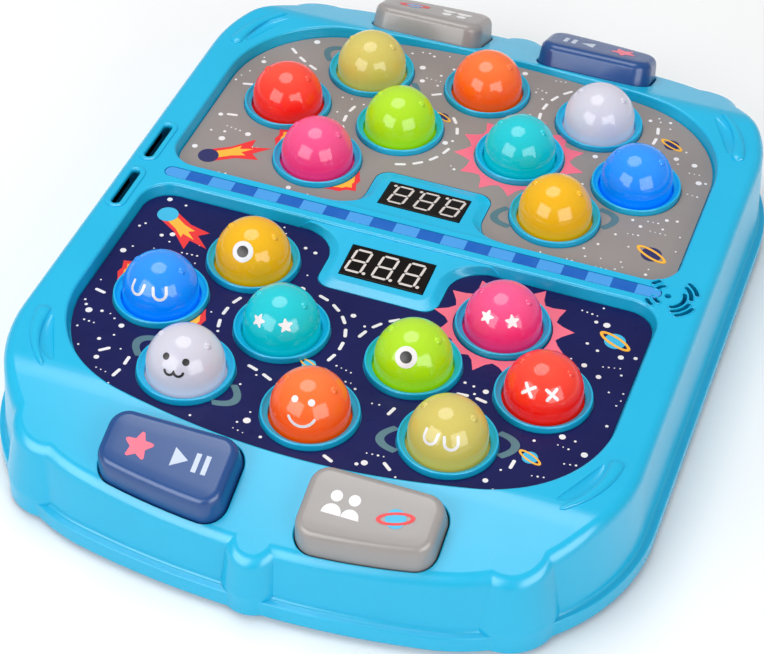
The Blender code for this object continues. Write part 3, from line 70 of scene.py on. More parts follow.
# Roughness and how far it wanders, then grain width, grain depth and wave depth in mm. The grain
# is drawn as coarse as it needs to show.
finishes = {
    "satinShell": (0.25, 0.02, 0.6, 0.001, 0.006),
    "satinButton": (0.25, 0.015, 0.6, 0.001, 0.004),
    "sparkEroded": (0.48, 0.05, 0.7, 0.03, 0.0),
    "navySheet": (0.30, 0.03, 0.9, 0.003, 0.0),
    "greySheet": (0.34, 0.03, 0.9, 0.003, 0.0),
    "ink": (0.34, 0.04, 0.3, 0.002, 0.0),
    "slateInk": (0.36, 0.04, 0.3, 0.002, 0.0),
    "frosted": (0.42, 0.05, 0.3, 0.002, 0.0),
    "smoked": (0.12, 0.02, 2.0, 0.001, 0.0),
    "rubber": (0.72, 0.08, 0.3, 0.03, 0.0),
    "nylon": (0.45, 0.06, 0.5, 0.01, 0.0),
    "silicone": (0.55, 0.06, 0.6, 0.01, 0.0),
}


def addNode(tree, kind, values=None, **settings):
    # One node; values holds numbers or links for its inputs, by name or number.
    node = tree.nodes.new(kind)
    for key, value in settings.items():
        setattr(node, key, value)
    for key, value in (values or {}).items():
        socket = node.inputs[key]
        if isinstance(value, bpy.types.NodeSocket):
            tree.links.new(value, socket)
        else:
            socket.default_value = value
    return node


def toLinear(code):
    # An sRGB hex value as linear colour.
    channels = [int(code[i:i + 2], 16) / 255 for i in (0, 2, 4)]
    return tuple(c / 12.92 if c <= 0.04045 else ((c + 0.055) / 1.055) ** 2.4 for c in channels) + (1.0,)


def noise(tree, place, size, detail=3.0):
    # Grain whose blotches are about size metres wide.
    values = {"Vector": place, "Scale": 1 / size, "Detail": detail}
    return addNode(tree, "ShaderNodeTexNoise", values).outputs[0]


def spanOf(tree, value, low, high, fromLow=0.3, fromHigh=0.7):
    values = {"Value": value, "From Min": fromLow, "From Max": fromHigh, "To Min": low, "To Max": high}
    return addNode(tree, "ShaderNodeMapRange", values).outputs[0]


def mixed(tree, factor, first, second):
    node = addNode(tree, "ShaderNodeMix", {0: factor, 6: first, 7: second}, data_type="RGBA")
    return node.outputs[2]


def newMaterial(name, **settings):
    material = bpy.data.materials.new(name)
    material.use_nodes = True
    tree = material.node_tree
    shader = tree.nodes["Principled BSDF"]
    for key, value in settings.items():
        shader.inputs[key.replace("_", " ")].default_value = value
    place = addNode(tree, "ShaderNodeTexCoord").outputs["Object"]
    return material, tree, shader, place


def grained(tree, shader, place, grain, depth, waveDepth=0.0, wave=pattern["wave"]):
    # Fine mould texture over slow waves.
    fine = addNode(tree, "ShaderNodeBump", {
        "Height": noise(tree, place, grain, 2.0), "Strength": 1.0, "Distance": depth,
    })
    if waveDepth:
        slow = addNode(tree, "ShaderNodeBump", {
            "Height": noise(tree, place, wave, 1.0), "Strength": 1.0, "Distance": waveDepth,
        })
        tree.links.new(slow.outputs[0], fine.inputs["Normal"])
    tree.links.new(fine.outputs[0], shader.inputs["Normal"])


def moulded(name, colour, pale, finish, **settings):
    roughness, spread, grain, depth, waveDepth = finishes[finish]
    material, tree, shader, place = newMaterial(name, **settings)
    blotch = spanOf(tree, noise(tree, place, pattern["blotch"], 4.0), 0.0, 1.0)
    tree.links.new(mixed(tree, blotch, toLinear(colour), toLinear(pale)), shader.inputs["Base Color"])
    sheen = noise(tree, place, pattern["sheen"], 5.0)
    rough = spanOf(tree, sheen, roughness - spread, roughness + spread)
    tree.links.new(rough, shader.inputs["Roughness"])
    grained(tree, shader, place, grain / 1000, depth / 1000, waveDepth / 1000)
    return material


# ABS with a satin mould finish: the eye reads a soft broad sheen and a faint texture.
shellPlastic = moulded("satin_turquoise_abs", "14B8E4", "1ABCE8", "satinShell", IOR=1.5)
buttonBlue = moulded("satin_blue_abs", "1E4A89", "234F8D", "satinButton")
buttonGrey = moulded("satin_grey_abs", "9D9896", "A19C9A", "satinButton")
# The same ABS on the underside, where a coarser spark-eroded texture breaks up reflections.
basePlastic = moulded("textured_turquoise_abs", "18B4DE", "1EB9E3", "sparkEroded")
# Screen-printed polycarbonate sheet: deep even ink under a smooth skin.
navyPrint = moulded("navy_printed_sheet", "101450", "141957", "navySheet", Specular_IOR_Level=0.2)
greyPrint = moulded("grey_printed_sheet", "938B88", "99918E", "greySheet", Specular_IOR_Level=0.25)
# Screen inks: flat, even and a little chalky against the sheet.
inkColours = {
    "white": ("white_ink", "F4F1F2", "EDEAEC"),
    "salmon": ("salmon_ink", "F86C86", "FA748C"),
    "red": ("red_ink", "F42C30", "EE3236"),
    "yellow": ("yellow_ink", "FFB733", "FFBE40"),
    "black": ("black_ink", "1A1718", "201C1E"),
    "navy": ("navy_ink", "23245E", "282A66"),
    "mist": ("pale_blue_ink", "C6D3E8", "CCD8EB"),
    "sky": ("sky_ink", "35B6E0", "3CBEE8"),
}
inks = {ink: moulded(*colours, "ink") for ink, colours in inkColours.items()}
inks["slate"] = moulded("slate_ink", "4F7580", "557B86", "slateInk")
# Frosted light guides of the digits: pale and dull while the lamps behind them are off.
inks["segment"] = moulded("frosted_display_segment", "DCD3CF", "D2C9C5", "frosted")
# Smoked acrylic window: nearly black, and mirror-smooth.
smokedWindow = moulded("smoked_acrylic", "14100F", "191413", "smoked", Specular_IOR_Level=0.15)
# Moulded rubber: black and dull, with hardly a highlight.
blackRubber = moulded("black_rubber", "242426", "2C2C2F", "rubber")
# Moulded nylon: dark, with a low even sheen.
blackPlastic = moulded("black_nylon", "2E2E31", "353539", "nylon")
# Pressed silicone: milky and matt.
silicone = moulded("milky_silicone", "D6D4CD", "DEDCD6", "silicone")


def stripMaterial(pitch):
    # Polycarbonate inlay printed in two inks, one square after the other along x, a little worn.
    material, tree, shader, place = newMaterial(
        "two_tone_printed_strip", Roughness=0.34, Specular_IOR_Level=0.2,
    )
    across = addNode(tree, "ShaderNodeSeparateXYZ", {0: place}).outputs[0]
    squares = addNode(tree, "ShaderNodeMath", {0: across, 1: pitch}, operation="DIVIDE").outputs[0]
    shifted = addNode(tree, "ShaderNodeMath", {0: squares, 1: 0.5}, operation="ADD").outputs[0]
    step = addNode(tree, "ShaderNodeMath", {0: shifted}, operation="FLOOR").outputs[0]
    odd = addNode(tree, "ShaderNodeMath", {0: step, 1: 2.0}, operation="FLOORED_MODULO").outputs[0]
    colour = mixed(tree, odd, toLinear("4A9FE8"), toLinear("1560BE"))
    wear = spanOf(tree, noise(tree, place, pattern["stripWear"], 4.0), 0.0, 0.06)
    tree.links.new(mixed(tree, wear, colour, toLinear("6FB4EC")), shader.inputs["Base Color"])
    grained(tree, shader, place, pattern["stripGrain"], pattern["stripDepth"])
    return material


def domeMaterial(name, colour, pale, low, high):
    # Tinted translucent plastic: deep colour at the foot and a paler top that is painted light from above;
    # the emission below adds a painted glow.
    material, tree, shader, place = newMaterial(
        name, Coat_Weight=0.25, Coat_Roughness=0.04, Subsurface_Weight=0.08,
        Subsurface_Scale=pattern["lampReach"], Emission_Strength=0.38, Specular_IOR_Level=0.3,
    )
    height = addNode(tree, "ShaderNodeSeparateXYZ", {0: place}).outputs[2]
    # Painted light: the colour turns paler with height, as if lit from above.
    milky = spanOf(tree, height, 0.0, 0.65, low, high)
    cloud = spanOf(tree, noise(tree, place, pattern["domeCloud"], 3.0), -0.06, 0.06)
    total = addNode(tree, "ShaderNodeMath", {0: milky, 1: cloud}, operation="ADD", use_clamp=True)
    blend = mixed(tree, total.outputs[0], toLinear(colour), toLinear(pale))
    tree.links.new(blend, shader.inputs["Base Color"])
    # Painted glow: the plastic gives off light in its own colour, strongest at the foot, though no lamp is
    # lit.
    paintedGlow = mixed(tree, total.outputs[0], toLinear(colour), toLinear("101010"))
    tree.links.new(paintedGlow, shader.inputs["Emission Color"])
    rough = spanOf(tree, noise(tree, place, pattern["domeSheen"], 4.0), 0.10, 0.15)
    tree.links.new(rough, shader.inputs["Roughness"])
    grained(
        tree, shader, place, pattern["domeGrain"], pattern["domeDepth"], pattern["domeWaveDepth"],
        pattern["domeWave"],
    )
    return material


def metalMaterial(name, colour, roughness, along):
    # Drawn or pressed steel: fine streaks that stretch the reflections.
    material, tree, shader, place = newMaterial(name, Metallic=1.0, Anisotropic=0.3)
    mapping = addNode(tree, "ShaderNodeMapping", {"Vector": place, "Scale": along})
    streak = noise(tree, mapping.outputs[0], pattern["streak"], 4.0)
    tint = mixed(tree, spanOf(tree, streak, 0.0, 0.5), toLinear(colour), toLinear("8E9196"))
    tree.links.new(tint, shader.inputs["Base Color"])
    tree.links.new(spanOf(tree, streak, roughness - 0.06, roughness + 0.1), shader.inputs["Roughness"])
    grained(tree, shader, mapping.outputs[0], pattern["steelGrain"], pattern["steelDepth"])
    return material


def boardMaterial():
    # Solder mask with paler copper runs showing through it.
    material, tree, shader, place = newMaterial("green_solder_mask", Roughness=0.35, Coat_Weight=0.3)
    values = {"Vector": place, "Scale": 1 / pattern["trackPitch"]}
    squares = addNode(tree, "ShaderNodeTexVoronoi", values, distance="MANHATTAN")
    runs = spanOf(tree, squares.outputs[0], 1.0, 0.0, 0.42, 0.46)
    colour = mixed(tree, runs, toLinear("1F5E3A"), toLinear("2F7A4C"))
    tree.links.new(colour, shader.inputs["Base Color"])
    values = {"Height": runs, "Strength": 1.0, "Distance": pattern["trackDepth"]}
    bump = addNode(tree, "ShaderNodeBump", values)
    tree.links.new(bump.outputs[0], shader.inputs["Normal"])
    return material


def sleeveMaterial(bandStart, bandEnd):
    # Printed plastic sleeve: a dark body with a copper-coloured band at one end.
    material, tree, shader, place = newMaterial("printed_cell_sleeve", Metallic=0.45, Roughness=0.3)
    along = addNode(tree, "ShaderNodeSeparateXYZ", {0: place}).outputs[0]
    past = addNode(tree, "ShaderNodeMath", {0: along, 1: bandStart}, operation="GREATER_THAN").outputs[0]
    short = addNode(tree, "ShaderNodeMath", {0: along, 1: bandEnd}, operation="LESS_THAN").outputs[0]
    both = addNode(tree, "ShaderNodeMath", {0: past, 1: short}, operation="MULTIPLY").outputs[0]
    scuff = spanOf(tree, noise(tree, place, pattern["cellScuff"], 5.0), 0.0, 0.2)
    dark = mixed(tree, scuff, toLinear("33363C"), toLinear("565A62"))
    tree.links.new(mixed(tree, both, dark, toLinear("B9793E")), shader.inputs["Base Color"])
    grained(tree, shader, place, pattern["cellGrain"], pattern["cellDepth"])
    return material


sleeveBand = lengths(start=12.0, end=23.5)
steel = metalMaterial("zinc_plated_steel", "B8BBC0", 0.28, (1.0, 1.0, 6.0))
springSteel = metalMaterial("nickel_plated_contact", "C2C0B8", 0.24, (1.0, 8.0, 1.0))
boardGreen = boardMaterial()
# The band's end points along x for the first way round, and against x for the second.
cellSleeves = {
    1: sleeveMaterial(sleeveBand["start"], sleeveBand["end"]),
    -1: sleeveMaterial(-sleeveBand["end"], -sleeveBand["start"]),
}

# Meshes

# How near two points count as one, in metres, and where a shaded edge turns sharp, in degrees, on
# most pieces and on softer ones.
meshing = {"merge": 0.000002, "sharp": 32.0, "softer": 40.0}
# Prints are thin, so their points stay apart and their faces keep their own normals.
flatPrint = {"angle": 50.0, "weighted": False, "merge": 1e-8}


def objectFrom(bm, name):
    mesh = bpy.data.meshes.new(name)
    bm.to_mesh(mesh)
    bm.free()
    piece = bpy.data.objects.new(name, mesh)
    bpy.context.scene.collection.objects.link(piece)
    return piece


def moved(bm, matrix):
    bmesh.ops.transform(bm, matrix=matrix, verts=bm.verts)
    return bm


def plain(piece):
    # Turns what the modifiers make into the piece's own mesh.
    bpy.context.view_layer.update()
    evaluated = piece.evaluated_get(bpy.context.evaluated_depsgraph_get())
    mesh = bpy.data.meshes.new_from_object(evaluated)
    piece.modifiers.clear()
    piece.data = mesh
    mesh.name = piece.name
    return piece


def cleaned(piece, merge):
    bm = bmesh.new()
    bm.from_mesh(piece.data)
    bmesh.ops.remove_doubles(bm, verts=bm.verts, dist=merge)
    bmesh.ops.dissolve_degenerate(bm, edges=bm.edges, dist=merge)
    bmesh.ops.recalc_face_normals(bm, faces=bm.faces)
    bm.to_mesh(piece.data)
    bm.free()
    return piece


def settle(
    piece, material, body, slotName, nodes=(), angle=meshing["sharp"], weighted=True,
    merge=meshing["merge"],
):
    # Last steps for a finished mesh: shading, material, body and the CAD nodes it stands for. slotName is
    # not used.
    # A body given as (body, body, start, end) is attached to no body; only its transform is baked in.
    cleaned(piece, merge)
    piece.data.materials.clear()
    piece.data.materials.append(material)
    piece.data.shade_smooth()
    piece.data.set_sharp_from_angle(angle=math.radians(angle))
    if weighted:
        even = piece.modifiers.new("even", "WEIGHTED_NORMAL")
        even.keep_sharp = True
        plain(piece)
    if isinstance(body, tuple):
        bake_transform(piece)
    else:
        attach(piece, body)
    if nodes:
        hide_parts(*nodes)
    return piece


def joined(name, parts):
    bm = bmesh.new()
    for part in parts:
        if isinstance(part, bpy.types.Object):
            bm.from_mesh(part.data)
            bpy.data.objects.remove(part, do_unlink=True)
        else:
            mesh = bpy.data.meshes.new("loose")
            part.to_mesh(mesh)
            part.free()
            bm.from_mesh(mesh)
            bpy.data.meshes.remove(mesh)
    return objectFrom(bm, name)


def cut(piece, tools):
    # Takes the closed tools away from the piece.
    group = bpy.data.collections.new("tools")
    bpy.context.scene.collection.children.link(group)
    made = []
    for number, tool in enumerate(tools):
        bmesh.ops.recalc_face_normals(tool, faces=tool.faces)
        mesh = bpy.data.meshes.new(f"tool{number}")
        tool.to_mesh(mesh)
        tool.free()
        cutter = bpy.data.objects.new(mesh.name, mesh)
        group.objects.link(cutter)
        made.append(cutter)
    away = piece.modifiers.new("away", "BOOLEAN")
    away.operation = "DIFFERENCE"
    away.solver = "EXACT"
    away.operand_type = "COLLECTION"
    away.collection = group
    plain(piece)
    for cutter in made:
        bpy.data.objects.remove(cutter, do_unlink=True)
    bpy.data.collections.remove(group)
    return piece


def arc(centre, radius, first, last, steps):
    return [
        (
            centre[0] + radius * math.cos(first + (last - first) * i / steps),
            centre[1] + radius * math.sin(first + (last - first) * i / steps),
        )
        for i in range(steps + 1)
    ]


def lift(outline, height):
    if callable(height):
        return [Vector((x, y, height(y))) for x, y in outline]
    return [Vector((x, y, height)) for x, y in outline]


def loft(loops, caps=None, ring=False):
    # Skin through loops with equal point counts; a ring joins the last loop to the first.
    bm = bmesh.new()
    rows = [[bm.verts.new(point) for point in loop] for loop in loops]
    count = len(rows[0])
    pairs = list(zip(rows, rows[1:]))
    if ring:
        pairs.append((rows[-1], rows[0]))
    for lower, upper in pairs:
        for i in range(count):
            j = (i + 1) % count
            bm.faces.new((lower[i], lower[j], upper[j], upper[i]))
    if not ring:
        for row in (rows[0], rows[-1]):
            for run in caps or [range(count)]:
                bm.faces.new([row[i] for i in run])
    bmesh.ops.recalc_face_normals(bm, faces=bm.faces)
    return bm


def turned(profile, steps, closed=False):
    # A profile of (radius, height) points turned round z.
    bm = bmesh.new()
    rows = []
    for radius, height in profile:
        if radius < meshing["merge"]:
            rows.append([bm.verts.new((0, 0, height))])
            continue
        angles = [math.tau * i / steps for i in range(steps)]
        rows.append([bm.verts.new((radius * math.cos(a), radius * math.sin(a), height)) for a in angles])
    pairs = list(zip(rows, rows[1:]))
    if closed:
        pairs.append((rows[-1], rows[0]))
    for first, second in pairs:
        for i in range(steps):
            j = (i + 1) % steps
            ends = [
                first[i % len(first)], first[j % len(first)],
                second[j % len(second)], second[i % len(second)],
            ]
            ends = list(dict.fromkeys(ends))
            if len(ends) > 2:
                bm.faces.new(ends)
    bmesh.ops.recalc_face_normals(bm, faces=bm.faces)
    return bm


def drum(radius, low, high, steps=48):
    return turned([(0, low), (radius, low), (radius, high), (0, high)], steps)


def block(halfX, halfY, low, high, bevel=0.0):
    bm = bmesh.new()
    bmesh.ops.create_cube(bm, size=1.0)
    bmesh.ops.scale(bm, vec=(2 * halfX, 2 * halfY, high - low), verts=bm.verts)
    bmesh.ops.translate(bm, vec=(0, 0, (low + high) / 2), verts=bm.verts)
    if bevel:
        bmesh.ops.bevel(
            bm, geom=list(bm.edges), offset=bevel, segments=3, profile=0.5, affect="EDGES",
            clamp_overlap=True,
        )
    return bm


def rounded(corners, steps):
    # Outline through (x, y, radius) corners.
    points = []
    count = len(corners)
    for i in range(count):
        here = Vector(corners[i][:2])
        radius = corners[i][2]
        if radius <= 0:
            points.append(tuple(here))
            continue
        back = (Vector(corners[i - 1][:2]) - here).normalized()
        ahead = (Vector(corners[(i + 1) % count][:2]) - here).normalized()
        half = back.angle(ahead) / 2
        centre = here + (back + ahead).normalized() * radius / math.sin(half)
        start = here + back * radius / math.tan(half) - centre
        sweep = math.pi - 2 * half
        if back.cross(ahead) > 0:
            sweep = -sweep
        for k in range(steps + 1):
            points.append(tuple(centre + Matrix.Rotation(sweep * k / steps, 2) @ start))
    return points


def capsule(halfLength, halfWidth, steps=10):
    middle = halfLength - halfWidth
    right = arc((middle, 0), halfWidth, -math.pi / 2, math.pi / 2, steps)
    return right + [(-x, -y) for x, y in right]


def tube(points, widths, heights, steps=16):
    # Soft rod along the points, flat in z where heights are less than widths.
    loops = []
    for i, point in enumerate(points):
        ahead = points[min(i + 1, len(points) - 1)]
        back = points[max(i - 1, 0)]
        along = (Vector(ahead) - Vector(back)).normalized()
        side = Vector((-along.y, along.x, 0)).normalized()
        loops.append([
            Vector(point) + side * widths[i] * math.cos(math.tau * k / steps)
            + Vector((0, 0, heights[i] * math.sin(math.tau * k / steps)))
            for k in range(steps)
        ])
    return loft(loops)


# Repeats: one tree puts an item on every point

repeatSeed = 7


def makeRepeatTree():
    tree = bpy.data.node_groups.new("repeat_on_points", "GeometryNodeTree")
    sockets = {}
    for name, kind in (
        ("Points", "NodeSocketGeometry"), ("Item", "NodeSocketObject"), ("Spread", "NodeSocketFloat"),
        ("Seed", "NodeSocketInt"), ("Material", "NodeSocketMaterial"),
    ):
        sockets[name] = tree.interface.new_socket(name, in_out="INPUT", socket_type=kind).identifier
    tree.interface.new_socket("Mesh", in_out="OUTPUT", socket_type="NodeSocketGeometry")
    start = addNode(tree, "NodeGroupInput").outputs
    info = addNode(tree, "GeometryNodeObjectInfo", {"Object": start["Item"]}, transform_space="ORIGINAL")
    turn = addNode(tree, "GeometryNodeInputNamedAttribute", {"Name": "turn"}, data_type="FLOAT_VECTOR")
    size = addNode(tree, "GeometryNodeInputNamedAttribute", {"Name": "size"}, data_type="FLOAT")
    low = addNode(tree, "ShaderNodeMath", {0: 1.0, 1: start["Spread"]}, operation="SUBTRACT")
    high = addNode(tree, "ShaderNodeMath", {0: 1.0, 1: start["Spread"]}, operation="ADD")
    chance = addNode(tree, "FunctionNodeRandomValue", data_type="FLOAT")
    tree.links.new(low.outputs[0], chance.inputs[2])
    tree.links.new(high.outputs[0], chance.inputs[3])
    tree.links.new(start["Seed"], chance.inputs["Seed"])
    values = {0: size.outputs[0], 1: chance.outputs[1]}
    scale = addNode(tree, "ShaderNodeMath", values, operation="MULTIPLY")
    euler = addNode(tree, "FunctionNodeEulerToRotation", {0: turn.outputs[0]})
    put = addNode(tree, "GeometryNodeInstanceOnPoints", {
        "Points": start["Points"], "Instance": info.outputs["Geometry"],
        "Rotation": euler.outputs[0], "Scale": scale.outputs[0],
    })
    real = addNode(tree, "GeometryNodeRealizeInstances", {0: put.outputs[0]})
    values = {"Geometry": real.outputs[0], "Material": start["Material"]}
    dress = addNode(tree, "GeometryNodeSetMaterial", values)
    addNode(tree, "NodeGroupOutput", {0: dress.outputs[0]})
    return tree, sockets


repeatTree, repeatSockets = makeRepeatTree()


def repeated(name, item, places, material, body, slotName, nodes=(), spread=0.0, **settings):
    # places lists (position, turn about z, size).
    itemPiece = objectFrom(item, name + "_item")
    mesh = bpy.data.meshes.new(name)
    mesh.from_pydata([tuple(place[0]) for place in places], [], [])
    mesh.attributes.new("turn", "FLOAT_VECTOR", "POINT")
    mesh.attributes.new("size", "FLOAT", "POINT")
    for i, (_, turn, size) in enumerate(places):
        mesh.attributes["turn"].data[i].vector = (0, 0, turn)
        mesh.attributes["size"].data[i].value = size
    piece = bpy.data.objects.new(name, mesh)
    bpy.context.scene.collection.objects.link(piece)
    made = piece.modifiers.new("repeat", "NODES")
    made.node_group = repeatTree
    inputs = {"Item": itemPiece, "Spread": spread, "Seed": repeatSeed, "Material": material}
    for key, value in inputs.items():
        made[repeatSockets[key]] = value
    plain(piece)
    bpy.data.objects.remove(itemPiece, do_unlink=True)
    return settle(piece, material, body, slotName, nodes, **settings)


# Prints: flat patches with a little thickness

roundEnd = (0.5, 1.0, 1.45)  # Angles of the points on a line's round end.
tipShares = {"reach": 1.12, "radius": 0.12}  # A star's soft tips, as shares of its outer radius.
leastArea = 1e-14


def disc(u, v, radius, steps=20, rings=1):
    points = [(u, v)]
    faces = []
    for ring in range(1, rings + 1):
        points += arc((u, v), radius * ring / rings, 0, math.tau, steps)[:-1]
    for i in range(steps):
        j = (i + 1) % steps
        faces.append((0, 1 + i, 1 + j))
        for ring in range(1, rings):
            a = 1 + (ring - 1) * steps
            b = a + steps
            faces.append((a + i, b + i, b + j, a + j))
    return points, faces


def band(inner, outer, closed=True):
    # Strip between two lines with equal point counts.
    count = len(inner)
    last = count if closed else count - 1
    faces = []
    for i in range(last):
        j = (i + 1) % count
        faces.append((i, count + i, count + j, j))
    return list(inner) + list(outer), faces


def ellipse(u, v, halfU, halfV, lean, steps=48, first=0.0, last=math.tau):
    turn = Matrix.Rotation(lean, 2)
    points = []
    for i in range(steps + 1):
        angle = first + (last - first) * i / steps
        spot = turn @ Vector((halfU * math.cos(angle), halfV * math.sin(angle)))
        points.append((u + spot.x, v + spot.y))
    return points


def stroke(path, width, taper=1.0):
    # Line with round ends; taper is the width at its end as a share.
    rows = []
    count = len(path)
    for i in range(count):
        ahead = Vector(path[min(i + 1, count - 1)])
        back = Vector(path[max(i - 1, 0)])
        along = (ahead - back).normalized()
        half = width / 2 * (1 + (taper - 1) * i / (count - 1))
        here = Vector(path[i])
        out = along * half
        if i == 0:
            rows += [(here - out * math.sin(a), along, half * math.cos(a)) for a in reversed(roundEnd)]
        rows.append((here, along, half))
        if i == count - 1:
            rows += [(here + out * math.sin(a), along, half * math.cos(a)) for a in roundEnd]
    left = [(p.x - d.y * h, p.y + d.x * h) for p, d, h in rows]
    right = [(p.x + d.y * h, p.y - d.x * h) for p, d, h in rows]
    return band(left, right, closed=False)


def starShape(u, v, outer, inner, count=5, lean=math.pi / 2):
    # Soft tips, sharp notches; a fan of triangles from the middle.
    corners = []
    for i in range(2 * count):
        radius, soft = inner, 0
        if i % 2 == 0:
            radius, soft = outer * tipShares["reach"], outer * tipShares["radius"]
        angle = lean + math.pi * i / count
        corners.append((u + radius * math.cos(angle), v + radius * math.sin(angle), soft))
    outline = rounded(corners, 3)
    size = len(outline)
    return [(u, v)] + outline, [(0, 1 + i, 1 + (i + 1) % size) for i in range(size)]


def shape(points):
    return list(points), [tuple(range(len(points)))]


def addPatch(bm, patch, place, rise):
    # Lays a flat patch through place(u, v, height), with an edge down to the surface.
    points, faces = patch
    top = [bm.verts.new(place(u, v, rise)) for u, v in points]
    used = {}
    for face in faces:
        area = sum(
            points[a][0] * points[b][1] - points[b][0] * points[a][1]
            for a, b in zip(face, face[1:] + face[:1])
        )
        if abs(area) < leastArea:
            continue
        bm.faces.new([top[i] for i in (face if area > 0 else face[::-1])])
        for a, b in zip(face, face[1:] + face[:1]):
            key = (min(a, b), max(a, b))
            used[key] = used.get(key, 0) + 1
    low = {}
    for a, b in [key for key, times in used.items() if times == 1]:
        for i in (a, b):
            if i not in low:
                low[i] = bm.verts.new(place(*points[i], 0.0))
        bm.faces.new((top[a], top[b], low[b], low[a]))


def printed(name, patches, place, rise, material, body, slotName):
    bm = bmesh.new()
    for patch in patches:
        addPatch(bm, patch, place, rise)
    loose = [v for v in bm.verts if not v.link_faces]
    bmesh.ops.delete(bm, geom=loose, context="VERTS")
    return settle(objectFrom(bm, name), material, body, slotName, **flatPrint)


# The housing

sides = (("near", -1), ("far", 1))
shell = lengths(
    gap=0.3, over=2.0, lap=1.0, skirt=1.5, panel=32.3, rim=36.3, halfWidth=99.6, halfLength=133.6,
    endRadius=270.0, cornerRadius=54.0, crease=99.8, creaseEase=4.0, fillet=3.6, wall=2.4, draft=2.1,
    flangeOut=4.9, skirtInner=2.9, cornerEase=4.8, cornerLobe=12.8, cornerReach=3.3, cornerGrowth=2.8,
    endLobe=8.4, endReach=4.5, endGrowth=1.6, plate=2.4, floor=31.5, ceiling=29.7, shoulder=4.3,
    roofStep=2.0, cutLow=28.0, cutHigh=37.0,
)
endSlope = 0.40
endAngle = math.atan(endSlope)
cornerLobeAngle = math.radians(55.0)
filletSteps = 7
quarterSteps = {"side": 6, "shoulder": 8, "cornerLobe": 20, "flank": 6, "end": 16, "endLobe": 12}
outerCreases = [shell["crease"] + shell["creaseEase"] * share for share in (-1, -1 / 3, 1 / 3, 1)]
# Foot of the wall, ledge with a soft edge, and upright flange: way out and height, in mm.
wallProfile = (
    (2.05, 9.1), (2.14, 8.4), (2.34, 7.9), (2.75, 7.5), (3.3, 7.32), (4.3, 7.22), (4.62, 7.12),
    (4.83, 6.9), (4.9, 6.55), (4.9, 1.85), (4.82, 1.6), (4.6, 1.5),
)


def rimHeight(y):
    # Level over the fields, then bending softly down to each player.
    past = abs(y) - (shell["crease"] - shell["creaseEase"])
    if past <= 0:
        return shell["rim"]
    if past < 2 * shell["creaseEase"]:
        return shell["rim"] - endSlope * past ** 2 / (4 * shell["creaseEase"])
    return shell["rim"] - endSlope * (abs(y) - shell["crease"])


def cornerCircle(offset):
    # Radius and centre of a corner's arc, and the angle at which the end's long arc takes over.
    radius = shell["cornerRadius"] + offset + shell["cornerEase"] * max(0.0, offset) / shell["flangeOut"]
    x = shell["halfWidth"] + offset - radius
    rise = math.sqrt((shell["endRadius"] + offset - radius) ** 2 - x ** 2)
    return radius, (x, shell["halfLength"] - shell["endRadius"] + rise), math.atan2(rise, x)


def lobePoints(radius, reach, lobe, steps):
    # A half-round pillar on an arc, as (angle from its middle, distance from the arc's centre).
    spread = math.acos((radius ** 2 + reach ** 2 - lobe ** 2) / (2 * radius * reach))
    sweep = math.atan2(radius * math.sin(spread), radius * math.cos(spread) - reach)
    points = arc((reach, 0), lobe, -sweep, sweep, steps)
    return [(math.atan2(y, x), math.hypot(x, y)) for x, y in points]


def bodyOutline(offset, creases, growth=1.0, lobeOffset=0.0, inner=None):
    # Plan outline of the body moved out by offset. Four points of each quarter lie on the creases.
    # With inner, the points keep their angles but lie on the smooth outline moved out by inner.
    steps = quarterSteps
    radius, corner, joint = cornerCircle(offset)
    big = shell["endRadius"] + offset
    pull = 0.0 if inner is None else offset - inner
    bends = [math.asin((y - corner[1]) / (radius - pull)) for y in creases]
    turns = [(bends[0] * i / steps["side"], radius) for i in range(steps["side"])]
    turns += [(bend, radius) for bend in bends]
    rimCorner = cornerCircle(0.0)[1]
    reach = shell["cornerRadius"] + shell["cornerReach"] - shell["cornerLobe"]
    middleX = rimCorner[0] + reach * math.cos(cornerLobeAngle) - corner[0]
    middleY = rimCorner[1] + reach * math.sin(cornerLobeAngle) - corner[1]
    lobe = shell["cornerLobe"] + shell["cornerGrowth"] * growth + lobeOffset
    middle = math.atan2(middleY, middleX)
    points = lobePoints(radius, math.hypot(middleX, middleY), lobe, steps["cornerLobe"])
    start = middle + points[0][0]
    for i in range(1, steps["shoulder"]):
        turns.append((bends[-1] + (start - bends[-1]) * i / steps["shoulder"], radius))
    turns += [(middle + turn, out) for turn, out in points]
    finish = turns[-1][0]
    for i in range(1, steps["flank"] + 1):
        turns.append((finish + (joint - finish) * i / steps["flank"], radius))
    fixed = None if inner is None else radius - pull
    quarter = [
        (corner[0] + (fixed or out) * math.cos(turn), corner[1] + (fixed or out) * math.sin(turn))
        for turn, out in turns
    ]
    lobe = shell["endLobe"] + shell["endGrowth"] * growth + lobeOffset
    reach = shell["endRadius"] + shell["endReach"] - shell["endLobe"]
    points = lobePoints(big, reach, lobe, 2 * steps["endLobe"])[:steps["endLobe"] + 1]
    points = [(math.pi / 2 + turn, out) for turn, out in points]
    turns = [(joint + (points[0][0] - joint) * i / steps["end"], big) for i in range(1, steps["end"])]
    turns += points
    centreY = shell["halfLength"] - shell["endRadius"]
    fixed = None if inner is None else big - pull
    for turn, out in turns:
        away = fixed or out
        quarter.append((away * math.cos(turn), centreY + away * math.sin(turn)))
    half = quarter + [(-x, y) for x, y in reversed(quarter[:-1])]
    return half + [(-x, -y) for x, y in half]


def bodyCaps(count):
    # The level middle, the strips of the two bends and the two sloped ends.
    half = count // 2
    first = quarterSteps["side"]
    last = first + len(outerCreases) - 1
    far = list(range(last, half - last))
    strips = [[k, k + 1, half - 2 - k, half - 1 - k] for k in range(first, last)]
    runs = [far] + strips
    runs += [[i + half for i in run] for run in runs]
    opposite = half - 1 - first
    middle = list(range(opposite, half + first + 1))
    middle += list(range(half + opposite, count)) + list(range(0, first + 1))
    return runs + [middle]


